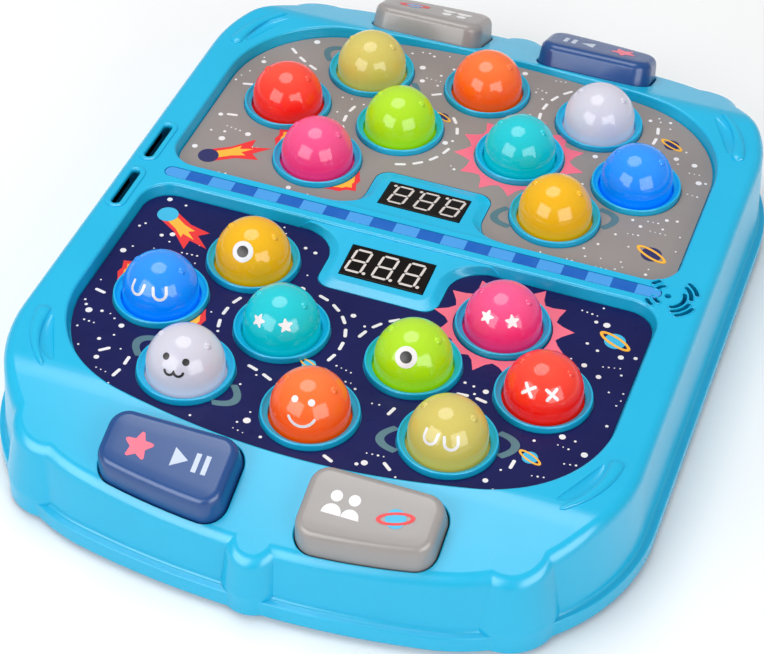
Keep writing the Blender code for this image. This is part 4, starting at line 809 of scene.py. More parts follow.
def housingBody():
    loops = []
    for step in range(filletSteps + 1):
        angle = math.pi / 2 * step / filletSteps
        out = -shell["fillet"] * (1 - math.sin(angle))
        drop = shell["fillet"] * (1 - math.cos(angle))
        outline = bodyOutline(out, outerCreases, 0.0, out)
        loops.append(lift(outline, lambda y, drop=drop: rimHeight(y) - drop))
    for out, height in toMetres(wallProfile):
        loops.append(lift(bodyOutline(out, outerCreases), height))
    outer = shell["flangeOut"]
    for out, height in (
        (shell["skirtInner"], shell["skirt"]),
        (shell["skirtInner"], shell["shoulder"]),
        (shell["draft"] - shell["wall"], shell["shoulder"]),
    ):
        loops.append(lift(bodyOutline(outer, outerCreases, inner=out), height))
    bend = shell["crease"] + (shell["rim"] - shell["plate"] - shell["ceiling"]) / endSlope
    roofCreases = [bend - shell["roofStep"] * i for i in (3, 2, 1, 0)]

    def roof(y):
        return shell["ceiling"] - endSlope * max(0.0, abs(y) - bend)

    loops.append(lift(bodyOutline(outer, roofCreases, inner=-shell["wall"]), roof))
    return loft(loops, bodyCaps(len(loops[0])))


field = lengths(
    halfWidth=86.25, reach=104.3, corner=39.0, end=270.0, inner=9.5, bar=6.5, lean=0.7, edge=1.0,
    overlap=0.03, sheet=0.5, sheetEdge=0.12,
)
fieldSteps = {"inner": 10, "corner": 24, "end": 12, "edge": 5}


def fieldOutline(offset, side):
    cornerX = field["halfWidth"] - field["corner"]
    endY = field["reach"] - field["end"]
    rise = math.sqrt((field["end"] - field["corner"]) ** 2 - cornerX ** 2)
    joint = math.atan2(rise, cornerX)
    inner = (field["halfWidth"] - field["inner"], field["bar"] + field["inner"])
    right = arc(inner, field["inner"] + offset, -math.pi / 2, 0, fieldSteps["inner"])
    right += arc((cornerX, endY + rise), field["corner"] + offset, 0, joint, fieldSteps["corner"])
    right += arc((0, endY), field["end"] + offset, joint, math.pi / 2, fieldSteps["end"])[1:]
    outline = right + [(-x, y) for x, y in reversed(right[:-1])]
    return outline if side > 0 else [(-x, -y) for x, y in outline]


def fieldPocket(side):
    # Leaning wall with a rounded upper edge, which ends a hair above the rim so that it cuts through.
    loops = [lift(fieldOutline(0.0, side), shell["floor"])]
    edge, steps = field["edge"], fieldSteps["edge"]
    for step in range(steps + 1):
        angle = math.pi / 2 * step / steps
        out = field["lean"] + edge * (1 - math.cos(angle))
        rise = edge * math.sin(angle) - edge + (field["overlap"] if step == steps else 0)
        loops.append(lift(fieldOutline(out, side), lambda y, rise=rise: rimHeight(y) + rise))
    loops.append(lift(fieldOutline(field["lean"] + edge, side), shell["rim"] + shell["over"]))
    return loft(loops)


bubble = lengths(
    radius=12.0, wall=1.6, flange=2.2, flangeThick=1.2, foot=0.4, flangeEdge=0.2, centre=35.75,
    ear=1.5, earProud=0.65, hole=13.4, sheetHole=15.3, milkyFrom=1.0, milkyTo=12.5,
)
# Bubbles' places as shares of the field's half width, to the player's right, and of its reach.
bubbleShares = {
    "yellow": (-0.483, 0.270), "pink": (0.483, 0.270), "blue": (-0.723, 0.514), "red": (0.723, 0.514),
    "teal": (-0.2486, 0.5224), "lime": (0.2486, 0.5224), "white": (-0.4828, 0.783),
    "olive": (0.4828, 0.783), "orange": (0.0, 0.820),
}
# Round-topped ring: distance from the axis and height above the table, in mm.
collarProfile = (
    (12.6, 29.9), (12.55, 32.6), (12.62, 32.85), (12.85, 33.02), (13.3, 33.22), (13.75, 33.52),
    (14.05, 33.85), (14.22, 34.12), (14.4, 34.26), (14.6, 34.3), (14.8, 34.22), (14.93, 34.0),
    (14.99, 33.6), (15.0, 32.6), (15.0, 29.9),
)


def bubblePlace(colour, side):
    u, v = bubbleShares[colour]
    return -u * field["halfWidth"] * side, v * field["reach"] * side


def atBubble(colour, side):
    return Matrix.Translation(bubblePlace(colour, side) + (0,))


platform = lengths(
    foot=34.0, side=20.0, flareEnd=18.0, end=30.8, corner=5.0, slopeWidth=3.4, rise=1.9, place=18.0,
    displayX=13.9, displayY=6.65, proud=0.3, depth=2.2, moduleLow=1.9, moduleEdge=0.2,
)
platformTilt = 0.096
platformSteps = {"flare": 10, "corner": 8}
# Hollow foot, slope and round shoulder: inset as a share of the slope's width, and of the rise.
platformShares = (
    (0.0, 0.06), (0.12, 0.16), (0.3, 0.36), (0.62, 0.72), (0.78, 0.88), (0.9, 0.97), (1.04, 1.0),
)


def platformOutline(inset, side):
    wide = platform["foot"] - inset
    narrow = platform["side"] - inset
    end = platform["end"] - inset
    flare = []
    for i in range(platformSteps["flare"] + 1):
        angle = math.pi / 2 * i / platformSteps["flare"]
        x = wide - (wide - narrow) * math.sin(angle)
        y = field["bar"] + (platform["flareEnd"] - field["bar"]) * (1 - math.cos(angle))
        flare.append((x, y))
    corner = platform["corner"]
    turn = arc((narrow - corner, end - corner), corner, 0, math.pi / 2, platformSteps["corner"])
    right = [(wide, field["bar"] - shell["over"])] + flare + turn
    outline = right + [(-x, y) for x, y in reversed(right)]
    return outline if side > 0 else [(-x, -y) for x, y in outline]


def platformHeight(y):
    return shell["panel"] + platform["rise"] - platformTilt * (abs(y) - platform["place"])


def tilted(place, angle, side):
    # Frame at a place, tilted towards the player of that side.
    turn = Matrix.Rotation(-angle, 4, "X")
    if side < 0:
        turn = Matrix.Rotation(math.pi, 4, "Z") @ turn
    return Matrix.Translation(place) @ turn


def displayMatrix(side):
    place = (0, platform["place"] * side, platformHeight(platform["place"]))
    return tilted(place, math.atan(platformTilt), side)


def makePlatform(side):
    foot = shell["panel"]
    loops = [lift(platformOutline(0.0, side), shell["floor"] - shell["lap"])]
    for inset, rise in platformShares:
        loops.append(lift(
            platformOutline(platform["slopeWidth"] * inset, side),
            lambda y, rise=rise: foot + (platformHeight(y) - foot) * rise,
        ))
    piece = objectFrom(loft(loops), "platform")
    halfX, halfY = platform["displayX"] + shell["gap"], platform["displayY"] + shell["gap"]
    hole = block(halfX, halfY, -platform["depth"], shell["over"])
    return cut(piece, [moved(hole, displayMatrix(side))])


button = lengths(
    x=31.3, y=19.3, halfWidth=20.6, halfDepth=12.0, corner=6.4, proud=8.0, draft=0.4, lean=1.6,
    low=3.8, edge=2.6, crown=0.02,
)
buttonHands = (("blue", 1), ("grey", -1))
outerEdgeShares = (0.5, 0.25, 0, -0.25, -0.5)  # Points between the corners, along the half width.
# The well's wall and its rounded upper edge: way out from the button and height, in mm.
wellProfile = ((0.4, -10.0), (0.4, -0.55), (0.46, -0.3), (0.62, -0.1), (0.85, 0.02), (0.85, 2.0))


def endMatrix(side):
    return tilted((0, shell["crease"] * side, shell["rim"]), endAngle, side)


def buttonMatrix(side, hand):
    return endMatrix(side) @ Matrix.Translation((button["x"] * hand, button["y"], 0))


def buttonOutline(offset, x, lean=0.0):
    # Rounded box whose far edge follows the bow of the tray's end; lean pulls that edge in.
    half = button["halfWidth"] + offset
    depth = button["halfDepth"] + offset
    bend = shell["endRadius"] * math.cos(endAngle)

    def outer(u):
        return depth - lean - ((x + u) ** 2 - x ** 2) / (2 * bend)

    radius = button["corner"] + offset
    corners = [(-half, -depth, radius), (half, -depth, radius), (half, outer(half), radius)]
    corners += [(half * share, outer(half * share), 0) for share in outerEdgeShares]
    corners += [(-half, outer(-half), radius)]
    return rounded(corners, 10)


def buttonWell(side, hand):
    x = button["x"] * hand
    loops = [lift(buttonOutline(out, x), height) for out, height in toMetres(wellProfile)]
    return moved(loft(loops), buttonMatrix(side, hand))


slot = lengths(x=93.0, start=3.0, length=20.0, halfWidth=2.4, bezel=1.1, rise=0.6, depth=12.0)
slotSteps = 14
# Raised lip that rolls over into the hole, as shares of its width and height.
bezelShares = (
    (1.0, -0.6), (1.0, 0.2), (0.85, 0.68), (0.55, 0.95), (0.2, 1.0), (-0.2, 0.9), (-0.55, 0.6),
    (-0.75, 0.1), (-0.8, -0.8), (-0.75, -1.6), (-0.4, -2.2), (0.0, -2.6), (0.0, -8.0),
)


def slotMatrix(side):
    place = (-slot["x"], (slot["start"] + slot["length"] / 2) * side, shell["rim"])
    return Matrix.Translation(place) @ Matrix.Rotation(math.pi / 2, 4, "Z")


def slotOutline(grow):
    return capsule(slot["length"] / 2 + grow, slot["halfWidth"] + grow, slotSteps)


def slotHole(side):
    tool = loft([lift(slotOutline(0.0), -slot["depth"]), lift(slotOutline(0.0), shell["over"])])
    return moved(tool, slotMatrix(side))


def slotBezel(side):
    loops = [lift(slotOutline(slot["bezel"] * out), slot["rise"] * rise) for out, rise in bezelShares]
    return moved(loft(loops, ring=True), slotMatrix(side))


grille = lengths(x=86.7, hole=1.1, width=1.3, pitch=2.8, lip=0.5, rise=0.35, cutLow=27.0, cutHigh=39.0)
# Ring number, first and last angle of each curved opening, in degrees.
grilleArcs = (
    (1.9, -65, 25), (2.6, -66, -14), (2.6, 6, 50), (3.3, -60, -22), (3.3, 22, 56),
    (1.6, 120, 152), (1.6, 208, 240), (2.5, 126, 144), (2.5, 216, 234),
)
grilleLipShares = ((1.0, -1.0), (1.0, 0.2), (0.8, 0.8), (0.5, 1.0), (0.15, 0.7), (0.0, 0.0), (0.0, -2.0))


def grilleOutline(ring, first, last, grow):
    radius = grille["pitch"] * ring
    half = grille["width"] / 2 + grow
    start = math.radians(first)
    finish = math.radians(last)
    startPlace = (radius * math.cos(start), radius * math.sin(start))
    finishPlace = (radius * math.cos(finish), radius * math.sin(finish))
    outline = arc((0, 0), radius + half, start, finish, 16)
    outline += arc(finishPlace, half, finish, finish + math.pi, 8)[1:-1]
    outline += arc((0, 0), radius - half, finish, start, 16)
    outline += arc(startPlace, half, start + math.pi, start + math.tau, 8)[1:-1]
    return outline


def grilleParts():
    place = Matrix.Translation((grille["x"], 0, 0))
    low, high = grille["cutLow"], grille["cutHigh"]
    openings = [moved(drum(grille["hole"], low, high, 32), place)]
    lips = []
    for ring, first, last in grilleArcs:
        outline = grilleOutline(ring, first, last, 0.0)
        openings.append(moved(loft([lift(outline, low), lift(outline, high)]), place))
        loops = []
        for out, rise in grilleLipShares:
            lip = grilleOutline(ring, first, last, grille["lip"] * out)
            loops.append(lift(lip, shell["rim"] + grille["rise"] * rise))
        lips.append(moved(loft(loops, ring=True), place))
    return openings, lips


# Rib on each corner's rim, with a scoop beside it.
grip = lengths(
    headX=91.2, headY=74.5, bowX=91.6, bowY=88.5, tipX=80.5, tipY=99.0, head=2.5, tip=0.7, rise=1.25,
    scoopIn=3.4, scoopWidth=2.4, scoopDepth=1.2, scoopLift=0.05,
)
gripShares = {
    "roundStart": 0.1, "roundEnd": 0.05, "leastRib": 0.04, "fall": 0.35, "leastScoop": 0.06,
    "scoopBow": 0.6, "scoopStart": 0.12, "scoopEnd": 0.98,
}


def gripLine(shift, first, last, steps=22):
    # Points along the bowed line of a grip, moved inwards by shift.
    points = []
    for i in range(steps + 1):
        t = first + (last - first) * i / steps
        a, b, c = (1 - t) ** 2, 2 * t * (1 - t), t ** 2
        x = a * grip["headX"] + b * grip["bowX"] + c * grip["tipX"]
        y = a * grip["headY"] + b * grip["bowY"] + c * grip["tipY"]
        dx = (1 - t) * (grip["bowX"] - grip["headX"]) + t * (grip["tipX"] - grip["bowX"])
        dy = (1 - t) * (grip["bowY"] - grip["headY"]) + t * (grip["tipY"] - grip["bowY"])
        size = math.hypot(dx, dy)
        points.append((x - dy / size * shift, y + dx / size * shift))
    return points


def roundedEnds(t, first, last):
    # 1 along the middle, rounding down to 0 over the first and the last share.
    start = 1 - max(0.0, (first - t) / first) ** 2
    end = 1 - max(0.0, (t - (1 - last)) / last) ** 2
    return math.sqrt(max(0.0, start)) * math.sqrt(max(0.0, end))


def gripParts(flipX, flipY):
    shares = gripShares
    line = gripLine(0.0, 0.0, 1.0)
    widths, heights, scoopWidths, scoopDepths = [], [], [], []
    for i in range(len(line)):
        t = i / (len(line) - 1)
        swell = max(roundedEnds(t, shares["roundStart"], shares["roundEnd"]), shares["leastRib"])
        widths.append((grip["head"] + (grip["tip"] - grip["head"]) * t) * swell)
        heights.append(grip["rise"] * (1 - shares["fall"] * t) * swell)
        swell = max(shares["leastScoop"], math.sin(math.pi * t) ** shares["scoopBow"])
        scoopWidths.append(grip["scoopWidth"] * swell)
        scoopDepths.append(grip["scoopDepth"] * swell)
    rib = tube([(x, y, rimHeight(y)) for x, y in line], widths, heights)
    line = gripLine(grip["scoopIn"], shares["scoopStart"], shares["scoopEnd"])
    line = [(x, y, rimHeight(y) + grip["scoopLift"]) for x, y in line]
    scoop = tube(line, scoopWidths, scoopDepths, 18)
    for bm in (rib, scoop):
        moved(bm, Matrix.Diagonal((flipX, flipY, 1, 1)))
        bmesh.ops.recalc_face_normals(bm, faces=bm.faces)
    return rib, scoop


strip = lengths(halfLength=84.5, halfWidth=2.3, thick=0.6, groove=0.9, pitch=8.048, edge=0.15)


def stripOutline(grow):
    return capsule(strip["halfLength"] + grow, strip["halfWidth"] + grow, 12)


def makeHousing():
    piece = objectFrom(housingBody(), "upper_shell_skin")
    cut(piece, [fieldPocket(side) for _, side in sides])
    openings, extras = grilleParts()
    for _, side in sides:
        for colour in bubbleShares:
            hole = drum(bubble["hole"], shell["cutLow"], shell["cutHigh"], 48)
            openings.append(moved(hole, atBubble(colour, side)))
        for _, hand in buttonHands:
            openings.append(buttonWell(side, hand))
        openings.append(slotHole(side))
        extras.append(slotBezel(side))
    groove = stripOutline(shell["gap"])
    levels = (shell["rim"] - strip["groove"], shell["rim"] + shell["over"])
    openings.append(loft([lift(groove, height) for height in levels]))
    cut(piece, openings)
    scoops = []
    for flipX in (1, -1):
        for flipY in (1, -1):
            rib, scoop = gripParts(flipX, flipY)
            extras.append(rib)
            scoops.append(scoop)
    cut(piece, scoops)
    for _, side in sides:
        extras.append(makePlatform(side))
    piece = joined("upper_shell_skin", [piece] + extras)
    return settle(piece, shellPlastic, "case", "turquoise_shell", ["upper_shell"], angle=33.0)


housing = makeHousing()
print("housing:", len(housing.data.polygons), "faces")


def underBubbles(side):
    return [(bubblePlace(colour, side) + (0.0,), 0.0, 1.0) for colour in bubbleShares]


collar = turned(toMetres(collarProfile), 72, closed=True)
collarPlaces = [place for _, side in sides for place in underBubbles(side)]
repeated(
    "upper_shell_collars", collar, collarPlaces, shellPlastic, "case", "turquoise_shell",
    angle=meshing["softer"],
)
print("collars")

sheetPrints = {"near": navyPrint, "far": greyPrint}
sheetSlots = {"near": "field_print_navy", "far": "field_print_grey"}


def makeSheet(name, side):
    # Printed sheet with a hole for each collar and a notch for the display platform.
    low, high, edge = shell["panel"] - field["sheet"], shell["panel"], field["sheetEdge"]
    piece = objectFrom(loft([
        lift(fieldOutline(-shell["gap"], side), low),
        lift(fieldOutline(-shell["gap"], side), high - edge),
        lift(fieldOutline(-shell["gap"] - edge, side), high),
    ]), name + "_field_sheet")
    low, high = low - shell["lap"], high + shell["lap"]
    tools = []
    for colour in bubbleShares:
        tools.append(moved(drum(bubble["sheetHole"], low, high, 72), atBubble(colour, side)))
    notch = platformOutline(-shell["gap"], side)
    tools.append(loft([lift(notch, low), lift(notch, high)]))
    cut(piece, tools)
    return settle(piece, sheetPrints[name], "case", sheetSlots[name], [name + "_field_panel"])


for name, side in sides:
    makeSheet(name, side)

# What is printed on the sheets. Sizes are in mm, as the player sees them: u to the right and v away
# from the bar. Reach is a distance from a bubble's middle, gap one from middle to middle.

printRise = 0.00004
art = {
    "near": {
        "orbits": (
            (-38, 118, 47, 215, 330), (-21.4, 54.5, 19.6, 150, 395), (4, 30, 34, 340, 430),
            (41.6, 81.7, 20.5, 130, 372), (62, 20, 33, 60, 175), (-72, 8, 33, 20, 100),
            (-86, 84, 26, 268, 430), (21, 54, 19.8, 200, 300), (0, 124, 26, 190, 350),
        ),
        "burst": "pink", "rings": (("white", 0.35), ("olive", -0.3)), "flares": "blue",
        "comet": (-76, 17, -0.62, 1), "worlds": ((76, 22, 3.4), (-8, 66, 2.2), (66, 79, 2.4)),
        "worldInk": "sky", "seed": 11,
    },
    "far": {
        "orbits": (
            (40, 118, 47, 210, 330), (21.4, 54.5, 19.6, 145, 390), (-4, 30, 34, 110, 200),
            (-41.6, 81.7, 20.5, 168, 410), (-62, 20, 33, 5, 120), (72, 8, 33, 80, 160),
            (86, 84, 26, 110, 272), (-21, 54, 19.8, 240, 340), (0, 124, 26, 190, 350),
        ),
        "burst": "teal", "rings": (("olive", 0.35), ("yellow", -0.35)), "flares": "pink",
        "comet": (76, 17, math.pi + 0.62, -1), "worlds": ((-76, 22, 3.4), (10, 66, 2.2), (-68, 80, 2.6)),
        "worldInk": "navy", "seed": 23,
    },
}
platformClear = {"half": 21.5, "end": 32, "flareHalf": 35, "flareEnd": 12.5}
dash = {"half": 1.4, "width": 1.1, "pitch": 6.0, "margin": 3.2, "reach": 17.8, "gap": 4.9}
# Rows of tiny dots, then single ones of several sizes; count is how many there are after each.
dot = {
    "unit": 1.0, "margin": 1.6, "reach": 17.0, "gap": 2.0, "fromDash": 3.3, "rowCount": 48, "count": 128,
    "rowHalfU": 84, "rowV": (8, 103), "rowRise": 0.6, "rowPitch": 1.7, "rowSizes": (0.24, 0.28, 0.34),
    "halfU": 86, "v": (7, 104), "sizes": (0.3, 0.36, 0.36, 0.42, 0.5, 0.6, 0.9, 1.05),
}
burst = {"inner": 15.6, "outer": 22.0, "rim": 0.9, "count": 13, "seed": 3, "clear": 23.4}
spikeShares = (0.1, 0.36, 1.0, 0.36)
spikeSpreadShares = (0.97, 0.06)  # Least length of a spike, and how much chance adds.
wideRing = {"outer": (21.2, 8.4), "inner": (18.6, 6.2), "span": 0.72}
tongue = {"turn": 0.55, "inner": 15.4, "foot": 15.6, "length": 5.4, "span": 1.0, "yellowSpan": 0.6}
tongueNotchShare = 0.72
besideClear = {"reach": 18.8, "radius": 6.8}  # Kept free for each ring's and each flare's ends.
comet = {"length": 17, "clear": 7, "head": 3.5, "headPlace": -0.6}
cometTails = {
    "red": (
        (0, -3.2), (8, -3.6), (15, -6.4), (14, -2.6), (21, -1.5), (14.5, 0.8), (17, 4.6), (8, 2.8),
        (0, 3.2),
    ),
    "yellow": (
        (0, -1.8), (7, -1.9), (11.5, -3.0), (10.5, -1.0), (15, -0.4), (10.5, 0.9), (11.5, 2.4), (7, 1.6),
        (0, 1.8),
    ),
}
worldClearShare = 2.1
# A small world's belt: half axes of its outer and inner edge as shares of the radius, and its lean.
beltShares = ((1.75, 0.62), (1.4, 0.36))
beltLean = 0.45


def insideField(u, v, margin):
    polygon = [(x * 1000, y * 1000) for x, y in fieldOutline(-margin / 1000, 1)]
    inside = False
    for (x0, y0), (x1, y1) in zip(polygon, polygon[1:] + polygon[:1]):
        if (y0 > v) != (y1 > v) and u < x0 + (v - y0) * (x1 - x0) / (y1 - y0):
            inside = not inside
    return inside


def bubbleSpot(colour):
    u, v = bubbleShares[colour]
    return u * field["halfWidth"] * 1000, v * field["reach"] * 1000


def farFrom(others, u, v):
    # others lists (u, v, radius).
    return all(math.hypot(u - p, v - q) >= radius for p, q, radius in others)


def freeSpot(u, v, margin, reach):
    # Off the collars, off the display platform and on the sheet.
    if not insideField(u, v, margin):
        return False
    if abs(u) < platformClear["half"] + margin and v < platformClear["end"] + margin:
        return False
    if abs(u) < platformClear["flareHalf"] and v < platformClear["flareEnd"] + margin:
        return False
    return farFrom([bubbleSpot(colour) + (reach,) for colour in bubbleShares], u, v)


def sheetPlace(side):
    # From the player's view to the sheet.
    def place(u, v, height):
        return Vector((-u / 1000 * side, v / 1000 * side, shell["panel"] + height))

    return place


def flatPlace(u, v, height):
    return Vector((u / 1000, v / 1000, height))


def patchItem(patch):
    bm = bmesh.new()
    addPatch(bm, patch, flatPlace, printRise)
    return bm


def around(u, v, reach, angle):
    return u + reach * math.cos(angle), v + reach * math.sin(angle)


def keptClear(plan):
    # Round areas without dashes or dots: worlds, comet, burst, rings and flares.
    taken = [(u, v, size * worldClearShare) for u, v, size in plan["worlds"]]
    u, v, lean, _ = plan["comet"]
    for share in (0, 0.5, 1):
        taken.append((u + comet["length"] * math.cos(lean) * share, v, comet["clear"]))
    taken.append(bubbleSpot(plan["burst"]) + (burst["clear"],))
    for colour, turn in plan["rings"] + ((plan["flares"], tongue["turn"]),):
        for end in (turn, turn + math.pi):
            place = around(*bubbleSpot(colour), besideClear["reach"], end)
            taken.append(place + (besideClear["radius"],))
    return taken


def makeDashes(name, side, plan, taken):
    dashes = []
    for u0, v0, radius, first, last in plan["orbits"]:
        step = math.degrees(dash["pitch"] / radius)
        angle = float(first)
        while angle < last:
            a = math.radians(angle)
            u, v = around(u0, v0, radius, a)
            others = taken + [(p, q, dash["gap"]) for p, q, _ in dashes]
            if farFrom(others, u, v) and freeSpot(u, v, dash["margin"], dash["reach"]):
                dashes.append((u, v, a + math.pi / 2))
            angle += step
    places = []
    for u, v, turn in dashes:
        # The player's u runs against x, so the angle is mirrored.
        heading = math.atan2(math.sin(turn) * side, -math.cos(turn) * side)
        places.append((sheetPlace(side)(u, v, 0.0), heading, 1.0))
    item = patchItem(stroke([(-dash["half"], 0), (0, 0), (dash["half"], 0)], dash["width"]))
    repeated(name + "_print_dashes", item, places, inks["white"], "case", sheetSlots[name], **flatPrint)
    return dashes


def makeDots(name, side, plan, taken, dashes):
    chance = random.Random(plan["seed"])
    dots = []

    def clear(u, v):
        if not freeSpot(u, v, dot["margin"], dot["reach"]):
            return False
        others = taken + [(p, q, dot["fromDash"]) for p, q, _ in dashes]
        return farFrom(others + [(p, q, dot["gap"]) for p, q, _ in dots], u, v)

    while len(dots) < dot["rowCount"]:
        u = chance.uniform(-dot["rowHalfU"], dot["rowHalfU"])
        v = chance.uniform(*dot["rowV"])
        rise = chance.uniform(-dot["rowRise"], dot["rowRise"])
        count = 3 + chance.randrange(2)
        row = []
        for i in range(count):
            row.append((u + dot["rowPitch"] * i, v + rise * i, chance.choice(dot["rowSizes"])))
        if all(clear(p, q) for p, q, _ in row):
            dots += row
    while len(dots) < dot["count"]:
        u = chance.uniform(-dot["halfU"], dot["halfU"])
        v = chance.uniform(*dot["v"])
        if clear(u, v):
            dots.append((u, v, chance.choice(dot["sizes"])))
    places = [(sheetPlace(side)(u, v, 0.0), 0.0, size) for u, v, size in dots]
    repeated(name + "_print_stars", patchItem(disc(0, 0, dot["unit"], 14)), places, inks["white"], "case",
             sheetSlots[name], spread=0.15, **flatPrint)


def burstPatch(u, v):
    # Closed band from a circle out to uneven spikes.
    chance = random.Random(burst["seed"])
    steps = burst["count"] * len(spikeShares)
    least, more = spikeSpreadShares
    foot = burst["inner"] + burst["rim"]
    low, high = [], []
    for i in range(steps):
        angle = math.tau * i / steps
        tip = burst["outer"] * (least + more * chance.random())
        low.append(around(u, v, burst["inner"], angle))
        high.append(around(u, v, foot + (tip - foot) * spikeShares[i % len(spikeShares)], angle))
    return band(low, high)


def ringPatches(plan):
    # The two ends of a wide ring that passes behind a bubble.
    span = wideRing["span"]
    patches = []
    for colour, turn in plan["rings"]:
        for end in (0, math.pi):
            outer, inner = (
                ellipse(*bubbleSpot(colour), *wideRing[edge], turn, 20, end - span, end + span)
                for edge in ("outer", "inner")
            )
            patches.append(band(inner, outer, closed=False))
    return patches


def flarePatches(plan, grow, steps=8):
    # A tongue with teeth on either side of one bubble.
    u, v = bubbleSpot(plan["flares"])
    patches = []
    for end in (tongue["turn"], tongue["turn"] + math.pi):
        inner, outer = [], []
        for i in range(steps + 1):
            angle = end + (i / steps - 0.5) * tongue["span"] * grow
            tooth = 1.0 if i % 2 == 0 else tongueNotchShare
            reach = tongue["foot"] + tongue["length"] * grow * (1 - abs(2 * i / steps - 1)) * tooth
            inner.append(around(u, v, tongue["inner"], angle))
            outer.append(around(u, v, reach, angle))
        patches.append(band(inner, outer, closed=False))
    return patches


def makeArt(name, side):
    plan = art[name]
    slotName = sheetSlots[name]
    place = sheetPlace(side)
    taken = keptClear(plan)
    dashes = makeDashes(name, side, plan, taken)
    makeDots(name, side, plan, taken, dashes)
    patches = [burstPatch(*bubbleSpot(plan["burst"]))]
    printed(name + "_print_burst", patches, place, printRise, inks["salmon"], "case", slotName)
    printed(name + "_print_rings", ringPatches(plan), place, printRise, inks["slate"], "case", slotName)
    # Comet: a tapering tail in two inks with a notched end, and a round head.
    cometU, cometV, lean, hand = plan["comet"]

    def along(a, b):
        c, s = math.cos(lean), math.sin(lean)
        return cometU + a * c + b * s * hand, cometV - a * s + b * c * hand

    for level, ink, grow in ((1, "red", 1.0), (2, "yellow", tongue["yellowSpan"])):
        patches = flarePatches(plan, grow) + [shape([along(a, b) for a, b in cometTails[ink]])]
        printed(f"{name}_print_{ink}", patches, place, level * printRise, inks[ink], "case", slotName)
    patches = [disc(u, v, size, 28) for u, v, size in plan["worlds"]]
    patches.append(disc(*along(comet["headPlace"], 0), comet["head"], 24))
    worldInk = inks[plan["worldInk"]]
    printed(name + "_print_worlds", patches, place, 3 * printRise, worldInk, "case", slotName)
    patches = []
    for u, v, size in plan["worlds"]:
        outer, inner = (ellipse(u, v, size * a, size * b, beltLean, 36)[:-1] for a, b in beltShares)
        patches.append(band(inner, outer))
    printed(name + "_print_belts", patches, place, 4 * printRise, inks["yellow"], "case", slotName)


for name, side in sides:
    makeArt(name, side)
print("printed sheets")


def makeStrip():
    edge = strip["edge"]
    levels = ((0.0, shell["rim"] - strip["thick"]), (0.0, shell["rim"] - edge), (-edge, shell["rim"]))
    piece = objectFrom(loft([lift(stripOutline(out), height) for out, height in levels]), "divider_inlay")
    return settle(piece, stripMaterial(strip["pitch"]), "case", "strip_print", ["divider_strip"])


makeStrip()

# Displays

digit = lengths(
    width=5.9, height=10.4, stroke=0.82, pitch=9.0, cut=0.16, point=0.6, pointGap=1.25, shift=0.7,
)
digitSlant = 0.11
digitSteps = (-1, 0, 1)
# Ends of the seven bars, in half widths and half heights of the digit.
barShares = (
    ((-1, 1), (1, 1)), ((-1, 0), (1, 0)), ((-1, -1), (1, -1)), ((-1, 0), (-1, 1)), ((1, 0), (1, 1)),
    ((-1, -1), (-1, 0)), ((1, -1), (1, 0)),
)


def digitPatches(centreU):
    # Seven bevelled bars and a point, slanted to the right.
    halfStroke = digit["stroke"] / 2
    half = digit["width"] / 2 - halfStroke
    tall = digit["height"] / 2 - halfStroke
    bars = []
    for (a, b), (c, d) in barShares:
        start, finish = Vector((a * half, b * tall)), Vector((c * half, d * tall))
        along = (finish - start).normalized()
        across = Vector((-along.y, along.x)) * halfStroke
        start = start + along * digit["cut"]
        finish = finish - along * digit["cut"]
        nose = along * halfStroke
        points = [start, start + nose - across, finish - nose - across]
        points += [finish, finish - nose + across, start + nose + across]
        bars.append(shape([(centreU + p.x + p.y * digitSlant, p.y) for p in points]))
    low = -digit["height"] / 2 + digit["point"]
    pointU = centreU + half + digit["pointGap"] + low * digitSlant
    bars.append(disc(pointU, low, digit["point"], 16))
    return bars


def makeDisplay(name, side):
    matrix = displayMatrix(side)
    halfX, halfY = platform["displayX"], platform["displayY"]
    body = block(halfX, halfY, -platform["moduleLow"], platform["proud"], platform["moduleEdge"])
    piece = objectFrom(moved(body, matrix), name + "_display_module")
    settle(piece, smokedWindow, "case", "display_window", [name + "_display"])

    def place(u, v, height):
        return matrix @ Vector((-u, -v, platform["proud"] + height))

    patches = [patch for k in digitSteps for patch in digitPatches(digit["pitch"] * k - digit["shift"])]
    ink = inks["segment"]
    printed(name + "_display_segments", patches, place, printRise, ink, "case", "display_window")


for name, side in sides:
    makeDisplay(name, side)
print("displays")

# Press bubbles

# Each plastic's own deep colour, and the paler colour of its top, which is painted light from above.
domeColours = {
    "yellow": ("DCA200", "F3BC28"), "pink": ("E42C70", "F5709F"), "blue": ("007CEE", "3FA0F4"),
    "red": ("EA1808", "F66650"), "teal": ("00B2BC", "30D0DA"), "lime": ("98CE00", "BEE63E"),
    "white": ("BEBDCB", "D6D3E0"), "olive": ("BCAE52", "DCCB74"), "orange": ("EE5000", "F88E50"),
}
# Heights over which the domes' tops are painted paler, as painted light.
paintedTopLightRange = (bubble["centre"] + bubble["milkyFrom"], bubble["centre"] + bubble["milkyTo"])
domeMaterials = {
    colour: domeMaterial("translucent_" + colour, deep, pale, *paintedTopLightRange)
    for colour, (deep, pale) in domeColours.items()
}
